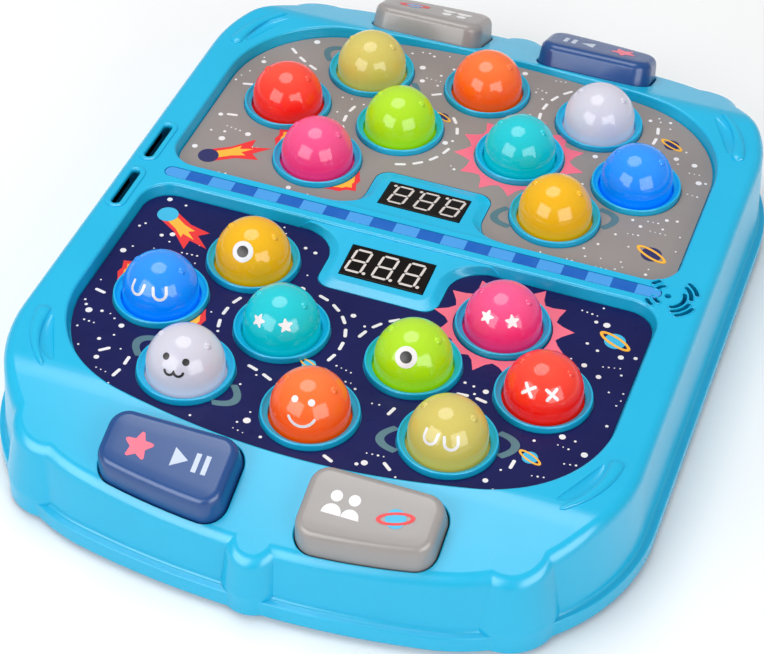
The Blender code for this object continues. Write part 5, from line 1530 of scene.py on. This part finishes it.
# Each face: ink, kind, turn to the right and height on the dome in degrees, and size in mm.
bubbleFaces = {
    "blue": (("white", "smile", -19, 34, 2.0), ("white", "smile", 24, 33, 2.0)),
    "yellow": (("white", "disc", 1, 42, 3.4), ("black", "disc", 1, 42, 1.85)),
    "lime": (("white", "disc", 3, 41, 3.4), ("black", "disc", 3, 41, 1.85)),
    "teal": (("white", "star", -23, 35, 2.5), ("white", "star", 29, 36, 2.5)),
    "pink": (("white", "star", -18, 38, 2.5), ("white", "star", 31, 37, 2.5)),
    "red": (("white", "cross", -15, 37, 2.1), ("white", "cross", 28, 36, 2.1)),
    "olive": (("white", "smile", -15, 35, 2.0), ("white", "smile", 22, 33, 2.0)),
    "orange": (
        ("white", "disc", -14, 50, 1.05), ("white", "disc", 24, 49, 1.05), ("white", "mouth", 7, 27, 4.3),
    ),
    "white": (
        ("black", "disc", -17, 46, 1.1), ("black", "disc", 26, 43, 1.1), ("black", "wave", 5, 29, 2.9),
    ),
}
faceLine = lengths(smile=0.9, mouth=0.9, wave=0.8, cross=1.0, crossGap=0.6, bigDisc=3.0, rise=0.06)
faceShares = {"smileTop": 0.8, "smileDrop": 0.1, "mouthRise": 0.35, "crossHalf": 0.72, "starInner": 0.48}
mouthAngles = (math.radians(205), math.radians(335))
innerRoofShare = 0.8  # The hollow's height over the half ball it would be.
earLean = math.radians(39)
earFlatShare = 0.85


def facePatches(kind, size):
    shares = faceShares
    if kind == "disc":
        return [disc(0, 0, size, 28, 4 if size > faceLine["bigDisc"] else 2)]
    if kind == "smile":
        top = size * shares["smileTop"]
        bow = arc((0, -size * shares["smileDrop"]), size, math.pi, math.tau, 14)
        return [stroke([(-size, top)] + bow + [(size, top)], faceLine["smile"])]
    if kind == "mouth":
        return [stroke(arc((0, size * shares["mouthRise"]), size, *mouthAngles, 18), faceLine["mouth"])]
    if kind == "wave":
        half = size / 2
        path = arc((-half, 0), half, math.pi * 1.05, math.tau, 10)[:-1]
        path += arc((half, 0), half, math.pi, math.pi * 1.95, 10)
        return [stroke(path, faceLine["wave"])]
    if kind == "cross":
        # One whole bar, and the other in two halves that end at it.
        half, gap = size * shares["crossHalf"], faceLine["crossGap"]
        whole = [-half + 2 * half * i / 6 for i in range(7)]
        halves = [gap + (half - gap) * i / 3 for i in range(4)]
        paths = [[(a, a) for a in whole], [(a, -a) for a in halves], [(-a, a) for a in halves]]
        return [stroke(path, faceLine["cross"]) for path in paths]
    return [starShape(0, 0, size, size * shares["starInner"])]


def bubbleProfile():
    # Half a ball on a straight skirt with a stop flange, hollow from below.
    centre, outer, edge = bubble["centre"], bubble["radius"], bubble["flangeEdge"]
    inner = outer - bubble["wall"]
    top = shell["ceiling"] - shell["gap"]
    rim = outer + bubble["flange"]
    low = top - bubble["flangeThick"]
    angles = [math.pi / 2 * i / 24 for i in range(25)]
    profile = [(outer * math.sin(a), centre + outer * math.cos(a)) for a in angles]
    profile += [
        (outer, top + bubble["foot"]), (outer + bubble["foot"], top), (rim - edge, top), (rim, top - edge),
        (rim, low + edge), (rim - edge, low), (inner, low),
    ]
    angles = [math.pi / 2 * i / 10 for i in range(11)]
    return profile + [
        (inner * math.cos(a), centre + inner * innerRoofShare * math.sin(a)) for a in angles
    ]


def ear(lean):
    bm = bmesh.new()
    bmesh.ops.create_uvsphere(bm, u_segments=24, v_segments=14, radius=bubble["ear"])
    bmesh.ops.scale(bm, vec=(1, 1, earFlatShare), verts=bm.verts)
    reach = bubble["radius"] - bubble["ear"] * earFlatShare + bubble["earProud"]
    turn = Matrix.Translation((0, 0, bubble["centre"])) @ Matrix.Rotation(lean, 4, "Y")
    return moved(bm, turn @ Matrix.Translation((0, 0, reach)))


def domePlace(azimuth, elevation, side, x, y):
    # Lays a flat patch on the dome round a point given in degrees, seen by the player.
    az, el = math.radians(azimuth), math.radians(elevation)
    out = Vector((math.sin(az) * math.cos(el), -math.cos(az) * math.cos(el), math.sin(el)))
    right = Vector((math.cos(az), math.sin(az), 0))
    up = Vector((-math.sin(az) * math.sin(el), math.cos(az) * math.sin(el), math.cos(el)))

    def place(u, v, height):
        away = math.hypot(u, v)
        turn = away / bubble["radius"]
        flat = (right * u + up * v) / away if away > 0 else right * 0
        point = (out * math.cos(turn) + flat * math.sin(turn)) * (bubble["radius"] + height)
        return Vector((-point.x * side + x, -point.y * side + y, point.z + bubble["centre"]))

    return place


def makeBubble(name, side, colour):
    x, y = bubblePlace(colour, side)
    node = f"{name}_bubble_{colour}"
    body, slotName = node + "_body", "bubble_" + colour
    piece = joined(node + "_dome", [turned(bubbleProfile(), 72), ear(-earLean), ear(earLean)])
    piece.data.transform(Matrix.Translation((x, y, 0)))
    settle(piece, domeMaterials[colour], body, slotName, [node], angle=meshing["softer"])
    byInk = {}
    for ink, kind, azimuth, elevation, size in bubbleFaces[colour]:
        place = domePlace(azimuth, elevation, side, x, y)
        for patch in facePatches(kind, size / 1000):
            byInk.setdefault(ink, []).append((patch, place))
    for level, (ink, patches) in enumerate(byInk.items()):
        bm = bmesh.new()
        for patch, place in patches:
            addPatch(bm, patch, place, faceLine["rise"] * (1 + level))
        settle(objectFrom(bm, f"{node}_face_{ink}"), inks[ink], body, slotName, **flatPrint)


for name, side in sides:
    for colour in bubbleShares:
        makeBubble(name, side, colour)
print("press bubbles")

# Push buttons

# Each icon: ink and outline in mm, to the right and away from the player.
icons = {
    "blue": (
        ("mist", shape([(2.4, -3.0), (7.2, 0.0), (2.4, 3.0)])),
        ("mist", shape([(9.0, -3.0), (10.5, -3.0), (10.5, 3.0), (9.0, 3.0)])),
        ("mist", shape([(12.0, -3.0), (13.5, -3.0), (13.5, 3.0), (12.0, 3.0)])),
        ("salmon", starShape(-8.4, 0.2, 4.9, 2.5)),
    ),
    "grey": (
        ("white", disc(-10.6, 2.1, 1.75, 24)), ("white", disc(-5.2, 2.1, 1.75, 24)),
        ("white", shape([(-13.6, -3.6)] + arc((-10.6, -3.3), 2.9, math.pi, 0, 14) + [(-7.9, -3.6)])),
        ("white", shape([(-7.6, -3.6)] + arc((-5.0, -3.3), 2.6, math.pi, 0, 14) + [(-2.1, -3.6)])),
        ("sky", disc(7.6, 0.2, 3.0, 28)),
        ("red", band(ellipse(7.6, 0.2, 4.3, 1.2, 0.3, 36)[:-1], ellipse(7.6, 0.2, 5.6, 2.0, 0.3, 36)[:-1])),
    ),
}
buttonSteps = 8
# Draft and lean reached where the edge starts, then the edge's rise, all as shares.
buttonShares = {"draft": 0.8, "lean": 0.9, "edgeRise": 0.97}
# Where the flat top starts and ends, in edge radii from the side.
buttonTopShares = (1.7, 2.2)


def buttonLevels():
    # Growth of the outline, lean and height of each level, from the foot up.
    edge, lean, top = button["edge"], button["lean"], button["proud"]
    levels = [(0.0, 0.0, -button["low"]), (0.0, 0.0, 0.0)]
    levels.append((-button["draft"] * buttonShares["draft"], lean * buttonShares["lean"], top - edge))
    for i in range(1, buttonSteps + 1):
        angle = math.pi / 2 * i / buttonSteps
        grow = -button["draft"] - edge * (1 - math.cos(angle))
        levels.append((grow, lean, top - edge + edge * math.sin(angle) * buttonShares["edgeRise"]))
    start, end = buttonTopShares
    levels.append((-button["draft"] - edge * start, lean, top - button["crown"]))
    levels.append((-button["draft"] - edge * end, lean, top))
    return levels


def makeButton(name, side, tag, hand):
    x = button["x"] * hand
    node = f"{name}_button_{tag}"
    body, slotName = node + "_body", "button_" + tag
    matrix = buttonMatrix(side, hand)
    loops = [lift(buttonOutline(grow, x, lean), height) for grow, lean, height in buttonLevels()]
    piece = objectFrom(moved(loft(loops), matrix), node + "_cap")
    material = buttonBlue if tag == "blue" else buttonGrey
    settle(piece, material, body, slotName, [node], angle=meshing["softer"])

    def place(u, v, height):
        return matrix @ Vector((-u / 1000, -v / 1000 - button["lean"] / 2, button["proud"] + height))

    byInk = {}
    for ink, patch in icons[tag]:
        byInk.setdefault(ink, []).append(patch)
    for level, (ink, patches) in enumerate(byInk.items()):
        rise = printRise * (1 + level)
        printed(f"{node}_icon_{ink}", patches, place, rise, inks[ink], body, slotName)


for name, side in sides:
    for tag, hand in buttonHands:
        makeButton(name, side, tag, hand)
print("push buttons")

# Underside. Sizes and profiles, which are (radius, height), are written in mm.

base = lengths(
    low=2.0, top=4.0, edge=0.4, screwX=66.0, screwY=104.0, footX=79.0, footY=86.0, footBore=5.3,
    footDepth=3.0, seatTop=4.5, lift=0.1,
)
bay = lengths(halfX=28.6, halfY=22.35, wall=3.0, ceiling=18.9, top=20.1, outerEdge=0.6, innerEdge=0.4)
lidBoss = lengths(x=34.9, halfX=8.0, halfY=9.0, top=10.1, edge=0.6, bore=1.6, depth=8.9)
cover = lengths(
    halfX=29.9, halfY=23.65, tabX=39.6, tabY=5.7, corner=2.0, low=2.0, top=3.8, edge=0.4, screwX=35.2,
)
coverChamferShare = 0.3
coverRib = lengths(inset=1.2, halfY=2.35, low=3.7, high=4.2, bevel=0.2)
coverArrow = ((-15.2, 0.0), (-11.7, -3.0), (-11.7, 3.0))
arrow = lengths(low=1.7, high=2.1)
coverBar = lengths(halfX=0.5, halfY=8.5, low=-0.5, high=0.1, bevel=0.3)
coverBars = lengths(first=-26.5, pitch=1.6)
coverBarCount = 6
switchWindow = lengths(x=56.0, halfX=4.5, halfY=2.1, corner=0.5, top=6.0)
switch = lengths(x=54.0, ridgeFirst=52.5, ridgePitch=1.0)
switchRidgeCount = 4
switchPlate = lengths(halfX=8.1, halfY=3.4, low=4.3, high=5.3, bevel=0.3)
switchKnob = lengths(halfX=2.2, halfY=1.8, low=1.3, high=4.5, bevel=0.25)
switchRidge = lengths(halfX=0.25, halfY=1.45, low=1.1, high=1.6, bevel=0.1)
screwWell = ((0, 0.5), (3.5, 0.5), (3.5, 2.1), (3.3, 2.4), (2.9, 2.6), (2.9, 4.5), (0, 4.5))
screwRim = ((3.6, 2.1), (3.6, 1.85), (3.8, 1.7), (4.9, 1.7), (5.15, 1.85), (5.2, 2.1))
screwBoss = ((4.4, 3.9), (4.4, 13.7), (4.1, 14.0), (1.6, 14.0), (1.6, 10.0), (2.9, 10.0), (2.9, 3.9))
coverWell = ((0, 0.5), (2.9, 0.5), (2.9, 3.2), (1.6, 3.2), (1.6, 4.5), (0, 4.5))
rubberFoot = (
    (0, 2.7), (4.7, 2.7), (5.0, 2.4), (5.0, 0.9), (4.86, 0.45), (4.5, 0.12), (4.1, 0), (2.7, 0),
    (2.4, 0.22), (1.4, 0.38), (0, 0.42),
)
# Screws in mm. The head is (radius, height over its face).
screwHead = ((0, 0), (1.5, 0.04), (2.15, 0.2), (2.5, 0.5), (2.6, 0.75))
thread = {"neck": 1.2, "root": 1.0, "crest": 1.3, "pitch": 0.6, "tipLength": 2.0, "tip": 0.35, "blunt": 0.2}
recess = lengths(long=1.5, wide=0.38, depth=0.9, over=0.4)
recessFootShare = 0.55
caseScrew = {"headZ": 9.7, "headHeight": 1.8, "tip": 23.7}
coverScrew = {"headZ": 2.9, "headHeight": 0.9, "tip": 8.6}
coverScrewTurn = 0.3


def fourPlaces(x, y):
    return [(i * x, j * y) for j in (-1, 1) for i in (-1, 1)]


def atFour(x, y):
    return [((i, j, 0.0), 0.0, 1.0) for i, j in fourPlaces(x, y)]


def atX(x):
    return Matrix.Translation((x, 0, 0))


def coverOutline(inset):
    x, y = cover["halfX"] - inset, cover["halfY"] - inset
    radius = cover["corner"] - inset
    tabX, tabY = cover["tabX"] - inset, cover["tabY"] - inset
    points = [(-x, -y, radius), (x, -y, radius), (x, -tabY, 0), (tabX, -tabY, radius)]
    points += [(tabX, tabY, radius), (x, tabY, 0), (x, y, radius), (-x, y, radius)]
    return rounded(points, 8)


def basePlate():
    inner = shell["skirtInner"] - shell["gap"]
    outline = bodyOutline(shell["flangeOut"], outerCreases, inner=inner)
    smaller = bodyOutline(shell["flangeOut"], outerCreases, inner=inner - base["edge"])
    loops = [lift(smaller, base["low"]), lift(outline, base["low"] + base["edge"])]
    loops.append(lift(outline, base["top"]))
    piece = objectFrom(loft(loops, bodyCaps(len(outline))), "base_plate")
    tools = []
    for x, y in fourPlaces(base["screwX"], base["screwY"]):
        tools.append(moved(turned(toMetres(screwWell), 40), Matrix.Translation((x, y, 0))))
    for x, y in fourPlaces(base["footX"], base["footY"]):
        tool = drum(base["footBore"], 0.0, base["footDepth"], 48)
        tools.append(moved(tool, Matrix.Translation((x, y, 0))))
    tools.append(loft([lift(coverOutline(-shell["gap"]), height) for height in (0.0, base["seatTop"])]))
    x, y, radius = switchWindow["halfX"], switchWindow["halfY"], switchWindow["corner"]
    window = rounded([(i * x, j * y, radius) for i, j in ((-1, -1), (1, -1), (1, 1), (-1, 1))], 4)
    tool = loft([lift(window, 0.0), lift(window, switchWindow["top"])])
    tools.append(moved(tool, atX(switchWindow["x"])))
    cut(piece, tools)
    return piece


def makeBase():
    plate = basePlate()
    # Battery bay and the boss of its screw, standing on the plate.
    low = base["top"] + base["lift"]
    x, y, wall = bay["halfX"], bay["halfY"], bay["wall"]
    box = objectFrom(block(x + wall, y + wall, low, bay["top"], bay["outerEdge"]), "bay")
    cut(box, [block(x, y, 0.0, bay["ceiling"], bay["innerEdge"])])
    bossBlock = block(lidBoss["halfX"], lidBoss["halfY"], low, lidBoss["top"], lidBoss["edge"])
    boss = objectFrom(moved(bossBlock, atX(lidBoss["x"])), "boss")
    cut(boss, [moved(drum(lidBoss["bore"], 0.0, lidBoss["depth"], 24), atX(cover["screwX"]))])
    piece = joined("base_plate", [plate, box, boss])
    return settle(piece, basePlastic, "case", "turquoise_shell", ["base_cover"])


def makeCover():
    edge = cover["edge"]
    chamfer = edge * coverChamferShare
    loops = [
        lift(coverOutline(edge), cover["low"]), lift(coverOutline(chamfer), cover["low"] + chamfer),
        lift(coverOutline(0.0), cover["low"] + edge), lift(coverOutline(0.0), cover["top"]),
    ]
    piece = objectFrom(loft(loops), "battery_lid")
    cut(piece, [moved(turned(toMetres(coverWell), 40), atX(cover["screwX"]))])
    ribX = bay["halfX"] - coverRib["inset"]
    rib = block(ribX, coverRib["halfY"], coverRib["low"], coverRib["high"], coverRib["bevel"])
    mark = loft([lift(toMetres(coverArrow), height) for height in (arrow["low"], arrow["high"])])
    piece = joined("battery_lid", [piece, rib, mark])
    settle(piece, basePlastic, "case", "turquoise_shell", ["battery_cover"])
    bars = []
    for i in range(coverBarCount):
        bars.append(((coverBars["first"] + coverBars["pitch"] * i, 0.0, cover["low"]), 0.0, 1.0))
    repeated("battery_lid_grip_bars", block(**coverBar), bars, basePlastic, "case", "turquoise_shell")


def screwItem(headZ, headHeight, tip):
    # Pan head below with a cross recess, threaded shank pointing up.
    low = headZ - headHeight
    profile = [(radius, low + height) for radius, height in screwHead]
    profile += [(screwHead[-1][0], headZ), (thread["neck"], headZ)]
    z = headZ + thread["pitch"]
    while z < tip - thread["tipLength"]:
        profile += [(thread["root"], z), (thread["crest"], z + thread["pitch"] / 2)]
        z += thread["pitch"]
    profile += [(thread["root"], z), (thread["tip"], tip - thread["blunt"]), (0, tip)]
    piece = objectFrom(turned(toMetres(profile), 32), "screw")
    long, wide = recess["long"], recess["wide"]
    quarter = [(long, -wide), (long, wide), (wide, wide)]
    turns = [Matrix.Rotation(math.pi / 2 * i, 2) for i in range(4)]
    cross = [tuple(turn @ Vector(point)) for turn in turns for point in quarter]
    foot = [(x * recessFootShare, y * recessFootShare) for x, y in cross]
    face = low / 1000
    loops = [lift(cross, face - recess["over"]), lift(cross, face), lift(foot, face + recess["depth"])]
    cut(piece, [loft(loops)])
    bm = bmesh.new()
    bm.from_mesh(piece.data)
    bpy.data.objects.remove(piece, do_unlink=True)
    return bm


def makeFeetAndScrews():
    feet = atFour(base["footX"], base["footY"])
    screws = atFour(base["screwX"], base["screwY"])
    footNames = ["foot_1", "foot_2", "foot_3", "foot_4"]
    item = turned(toMetres(rubberFoot), 48)
    repeated("rubber_feet", item, feet, blackRubber, "case", "black_rubber", footNames)
    screwNames = ["case_screw_1", "case_screw_2", "case_screw_3", "case_screw_4"]
    repeated("case_screws", screwItem(**caseScrew), screws, steel, "case", "steel", screwNames)
    place = ((cover["screwX"], 0, 0), coverScrewTurn, 1.0)
    repeated("lid_screw", screwItem(**coverScrew), [place], steel, "case", "steel", ["battery_cover_screw"])
    item = turned(toMetres(screwBoss), 40, closed=True)
    repeated("base_plate_bosses", item, screws, basePlastic, "case", "turquoise_shell")
    item = turned(toMetres(screwRim), 48, closed=True)
    repeated("base_plate_screw_rims", item, screws, basePlastic, "case", "turquoise_shell")


def makeSwitch():
    # Slide switch: plate inside, ridged knob in the window.
    parts = [moved(block(**sizes), atX(switch["x"])) for sizes in (switchPlate, switchKnob)]
    for i in range(switchRidgeCount):
        x = switch["ridgeFirst"] + switch["ridgePitch"] * i
        parts.append(moved(block(**switchRidge), atX(x)))
    piece = joined("switch_slider", parts)
    settle(piece, blackPlastic, "power_switch_body", "black_plastic", ["power_switch"])


makeBase()
makeCover()
makeFeetAndScrews()
makeSwitch()
print("underside")

# Inside. Sizes and profiles, which are (radius, height), are written in mm.

cellProfile = (
    (0, 25.0), (2.3, 25.0), (2.65, 24.85), (2.75, 24.6), (2.8, 24.1), (5.5, 24.0), (5.8, 23.8),
    (6.6, 23.8), (6.95, 23.65), (7.05, 23.3), (7.05, -24.5), (6.9, -24.85), (6.5, -25.0),
    (5.8, -25.0), (5.5, -24.8), (0, -24.8),
)
# Each cell's place across the bay, in cell pitches, and its way round.
cellRows = ((-1, 1), (0, -1), (1, 1))
cell = lengths(pitch=15.0, height=11.55)
contactPlate = lengths(halfX=0.25, halfY=22.05, low=4.5, high=15.08, bevel=0.1)
contact = lengths(plateX=28.05, faceX=27.7)
contactDimple = ((0, 0.0), (2.6, 0.0), (2.4, 1.2), (1.8, 2.3), (0, 2.5))
coil = lengths(foot=3.0, tip=1.8, length=2.1, wire=0.28)
coilTurns = {"count": 3, "steps": 28}
speakerProfile = (
    (0, 28.3), (1.4, 28.15), (2.4, 27.7), (2.9, 27.2), (6.9, 28.9), (7.3, 29.2), (7.8, 29.36),
    (8.3, 29.3), (8.7, 29.05), (9.0, 29.2), (9.8, 29.4), (10.0, 29.2), (10.0, 25.6), (9.8, 25.4),
    (6.2, 25.4), (6.0, 25.2), (6.0, 22.7), (5.7, 22.4), (0, 22.4),
)
board = lengths(halfX=78.5, halfY=45.1, low=20.9, high=22.5, bevel=0.2)
boardPlace = lengths(y=54.1)
boardHole = lengths(x=74.5, nearY=13.0, farY=95.2, radius=1.4, low=20.0, high=24.0)
lampFoot = ((0, 22.4), (2.9, 22.4), (2.9, 23.3), (2.5, 23.3))
lampBall = {"radius": 2.5, "height": 23.6}
mat = lengths(
    low=22.8, top=23.6, halfX=77.9, near=9.6, far=98.6, corner=11.0, notch=15.1, notchEnd=25.85,
    bore=10.7, crown=27.9, over=1.0,
)
buttonMat = lengths(halfX=53.4, halfY=7.0, low=-8.028, top=-7.228, bore=2.4, crown=-4.028, edge=0.2)
# A bell's wall, foot below the mat's top, edge, and the part that stays whole under the key.
bell = lengths(wall=1.4, sunk=0.4, edge=0.2, held=0.3)
bellShares = ((1.55, 0), (1.45, 0.2), (1.15, 0.5), (1.0, 0.75))  # Shares of the wall and of the height.


def makeCells():
    for number, (row, way) in enumerate(cellRows):
        name = f"battery_{number + 1}"
        place = (0, cell["pitch"] * row, cell["height"])
        turn = Matrix.Translation(place) @ Matrix.Rotation(way * math.pi / 2, 4, "Y")
        piece = objectFrom(moved(turned(toMetres(cellProfile), 48), turn), name + "_cell")
        settle(piece, cellSleeves[way], "case", "cell_jacket", [name])


def coilSpring(centre, way):
    # Conical spring that stands on a contact plate, along x.
    steps = coilTurns["count"] * coilTurns["steps"]
    curve = bpy.data.curves.new("coil", "CURVE")
    curve.dimensions = "3D"
    curve.bevel_depth = coil["wire"]
    curve.bevel_resolution = 3
    line = curve.splines.new("POLY")
    line.points.add(steps)
    x, y, z = centre
    for i in range(steps + 1):
        share = i / steps
        angle = math.tau * coilTurns["count"] * share
        radius = coil["foot"] + (coil["tip"] - coil["foot"]) * share
        across, up = radius * math.cos(angle), radius * math.sin(angle)
        line.points[i].co = (x + way * coil["length"] * share, y + across, z + up, 1)
    piece = bpy.data.objects.new("coil", curve)
    bpy.context.scene.collection.objects.link(piece)
    bpy.context.view_layer.update()
    graph = bpy.context.evaluated_depsgraph_get()
    mesh = bpy.data.meshes.new_from_object(piece.evaluated_get(graph))
    bpy.data.objects.remove(piece, do_unlink=True)
    bm = bmesh.new()
    bm.from_mesh(mesh)
    bpy.data.meshes.remove(mesh)
    return bm


def makeContacts():
    for name, side in (("left", -1), ("right", 1)):
        parts = [moved(block(**contactPlate), atX(side * contact["plateX"]))]
        for row, way in cellRows:
            place = (side * contact["faceX"], cell["pitch"] * row, cell["height"])
            if way == side:
                turn = Matrix.Translation(place) @ Matrix.Rotation(-side * math.pi / 2, 4, "Y")
                parts.append(moved(turned(toMetres(contactDimple), 32), turn))
            else:
                parts.append(coilSpring(place, -side))
        piece = joined(f"contact_{name}_springs", parts)
        settle(piece, springSteel, "case", "steel", ["battery_contact_" + name])


def makeSpeaker():
    cone = moved(turned(toMetres(speakerProfile), 64), atX(grille["x"]))
    piece = objectFrom(cone, "speaker_driver")
    settle(piece, blackPlastic, "case", "black_plastic", ["speaker"], angle=meshing["softer"])


def makeBoard(name, side):
    plate = moved(block(**board), Matrix.Translation((0, boardPlace["y"] * side, 0)))
    piece = objectFrom(plate, name + "_circuit_board")
    holes = []
    for y in (boardHole["nearY"], boardHole["farY"]):
        for x in (-boardHole["x"], boardHole["x"]):
            hole = drum(boardHole["radius"], boardHole["low"], boardHole["high"], 24)
            holes.append(moved(hole, Matrix.Translation((x, y * side, 0))))
    cut(piece, holes)
    settle(piece, boardGreen, "case", "circuit_board", [name + "_board"])
    radius, height = lampBall["radius"], lampBall["height"]
    angles = [math.pi / 2 * i / 8 for i in range(8)]
    profile = list(lampFoot) + [(radius * math.cos(a), height + radius * math.sin(a)) for a in angles]
    lamp = turned(toMetres(profile + [(0, height + radius)]), 28)
    repeated(name + "_lamps", lamp, underBubbles(side), silicone, "case", "circuit_board")


def makeBell(name, sizes, matrix, body):
    # Soft ring standing in the mat, from below its top up to a crown under the key.
    foot, crown, bore = sizes["top"] - bell["sunk"], sizes["crown"], sizes["bore"]
    wall, edge = bell["wall"], bell["edge"]
    profile = [(bore, foot)]
    profile += [(bore + wall * out, foot + (crown - foot) * up) for out, up in bellShares]
    profile += [
        (bore + wall, crown - edge), (bore + wall - edge, crown), (bore + edge, crown),
        (bore, crown - edge),
    ]
    piece = objectFrom(moved(turned(profile, 40, closed=True), matrix), name)
    start, end = (tuple(matrix @ Vector((0, 0, z))) for z in (sizes["low"], crown - bell["held"]))
    settle(piece, silicone, ("case", body, start, end), "silicone")


def makeKeyMat(name, side):
    corner, near, far = mat["corner"], mat["near"], mat["far"]
    right = [(mat["notch"], mat["notchEnd"]), (mat["notch"], near), (mat["halfX"] - corner, near)]
    right += [(mat["halfX"], near + corner), (mat["halfX"], far - corner), (mat["halfX"] - corner, far)]
    outline = [(x * side, y * side) for x, y in right + [(-x, y) for x, y in reversed(right)]]
    piece = objectFrom(loft([lift(outline, mat["low"]), lift(outline, mat["top"])]), name + "_key_sheet")
    holes = []
    for colour in bubbleShares:
        hole = drum(mat["bore"], mat["low"] - mat["over"], mat["top"] + mat["over"], 40)
        holes.append(moved(hole, atBubble(colour, side)))
        key = f"{name}_bubble_{colour}"
        makeBell(key + "_bell", mat, atBubble(colour, side), key + "_body")
    cut(piece, holes)
    settle(piece, silicone, "case", "silicone", [name + "_key_mat"])


def makeButtonMat(name, side):
    sheet = block(
        buttonMat["halfX"], buttonMat["halfY"], buttonMat["low"], buttonMat["top"], buttonMat["edge"]
    )
    matrix = endMatrix(side) @ Matrix.Translation((0, button["y"], 0))
    piece = objectFrom(moved(sheet, matrix), name + "_button_sheet")
    settle(piece, silicone, "case", "silicone", [name + "_button_mat"])
    for tag, hand in buttonHands:
        key = f"{name}_button_{tag}"
        makeBell(key + "_bell", buttonMat, buttonMatrix(side, hand), key + "_body")


makeCells()
makeContacts()
makeSpeaker()
for name, side in sides:
    makeBoard(name, side)
for name, side in sides:
    makeKeyMat(name, side)
    makeButtonMat(name, side)
for name, _ in sides:
    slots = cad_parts[name + "_button_board"].data.materials
    slots.clear()
    slots.append(boardGreen)
print("inside")

# Floor, light and camera

floorHalf = 3.0
floorColours = ("FBFBFB", "FDFDFD")
# Place, width, height, power in watts, shape and the rays that meet it. The panes show as the two
# bright patches on each dome, and the softer windows behind them light the rest.
lights = {
    "overhead": ((-0.18, 0.12, 1.0), 0.7, 0.7, 5.6, "DISK", "all"),
    "window_left": ((-0.385, -0.760, 0.525), 0.50, 0.44, 2.5, "RECTANGLE", "diffuse"),
    "window_right": ((0.686, -0.567, 0.457), 0.50, 0.44, 2.1, "RECTANGLE", "diffuse"),
    "pane_left": ((-0.400, -0.800, 0.460), 0.74, 0.66, 7.6, "RECTANGLE", "glossy"),
    "pane_right": ((0.700, -0.590, 0.400), 0.74, 0.66, 7.6, "RECTANGLE", "glossy"),
}
lightTarget = (0, 0, 0.02)
skyLevel = 0.38
# Fitted to the photo: lens and sensor in mm, place in metres, and the picture's directions.
view = {
    "lens": 102.95, "sensor": 36.0, "place": (0.16457, -0.51227, 0.49040),
    "right": (0.9402042, 0.3396863, 0.0250842), "down": (0.2479458, -0.6320637, -0.7341787),
    "ahead": (-0.2335357, 0.6964974, -0.6784928),
}


def makeFloor():
    bm = bmesh.new()
    bmesh.ops.create_grid(bm, x_segments=1, y_segments=1, size=floorHalf)
    piece = objectFrom(bm, "floor")
    # Matt white board: plain and even, with only faint clouds, so that it draws no eye.
    material, tree, shader, place = newMaterial("matt_white_board", Roughness=0.85)
    cloud = noise(tree, place, pattern["tableBlotch"], 2.0)
    tone = mixed(tree, cloud, *(toLinear(code) for code in floorColours))
    tree.links.new(tone, shader.inputs["Base Color"])
    piece.data.materials.append(material)


def makeLight(name, place, width, height, watts, outline, rays):
    data = bpy.data.lights.new(name, "AREA")
    data.shape = outline
    data.size = width
    if outline == "RECTANGLE":
        data.size_y = height
    data.energy = watts
    light = bpy.data.objects.new(name, data)
    bpy.context.scene.collection.objects.link(light)
    turn = (Vector(lightTarget) - Vector(place)).to_track_quat("-Z", "Y")
    light.matrix_world = Matrix.Translation(place) @ turn.to_matrix().to_4x4()
    light.visible_diffuse = rays != "glossy"
    light.visible_glossy = rays != "diffuse"


def makeWorld():
    sky = bpy.data.worlds.new("studio")
    bpy.context.scene.world = sky
    sky.use_nodes = True
    ground = sky.node_tree.nodes["Background"]
    ground.inputs["Color"].default_value = (1, 1, 1, 1)
    ground.inputs["Strength"].default_value = skyLevel


def makeCamera():
    data = bpy.data.cameras.new("camera")
    data.lens = view["lens"]
    data.sensor_width = view["sensor"]
    camera = bpy.data.objects.new("camera", data)
    bpy.context.scene.collection.objects.link(camera)
    turn = Matrix((Vector(view["right"]), -Vector(view["down"]), -Vector(view["ahead"])))
    camera.matrix_world = Matrix.Translation(view["place"]) @ turn.transposed().to_4x4()
    bpy.context.scene.camera = camera


makeFloor()
for name, settings in lights.items():
    makeLight(name, *settings)
makeWorld()
makeCamera()
bpy.context.scene.view_settings.view_transform = "Standard"
print("stage")
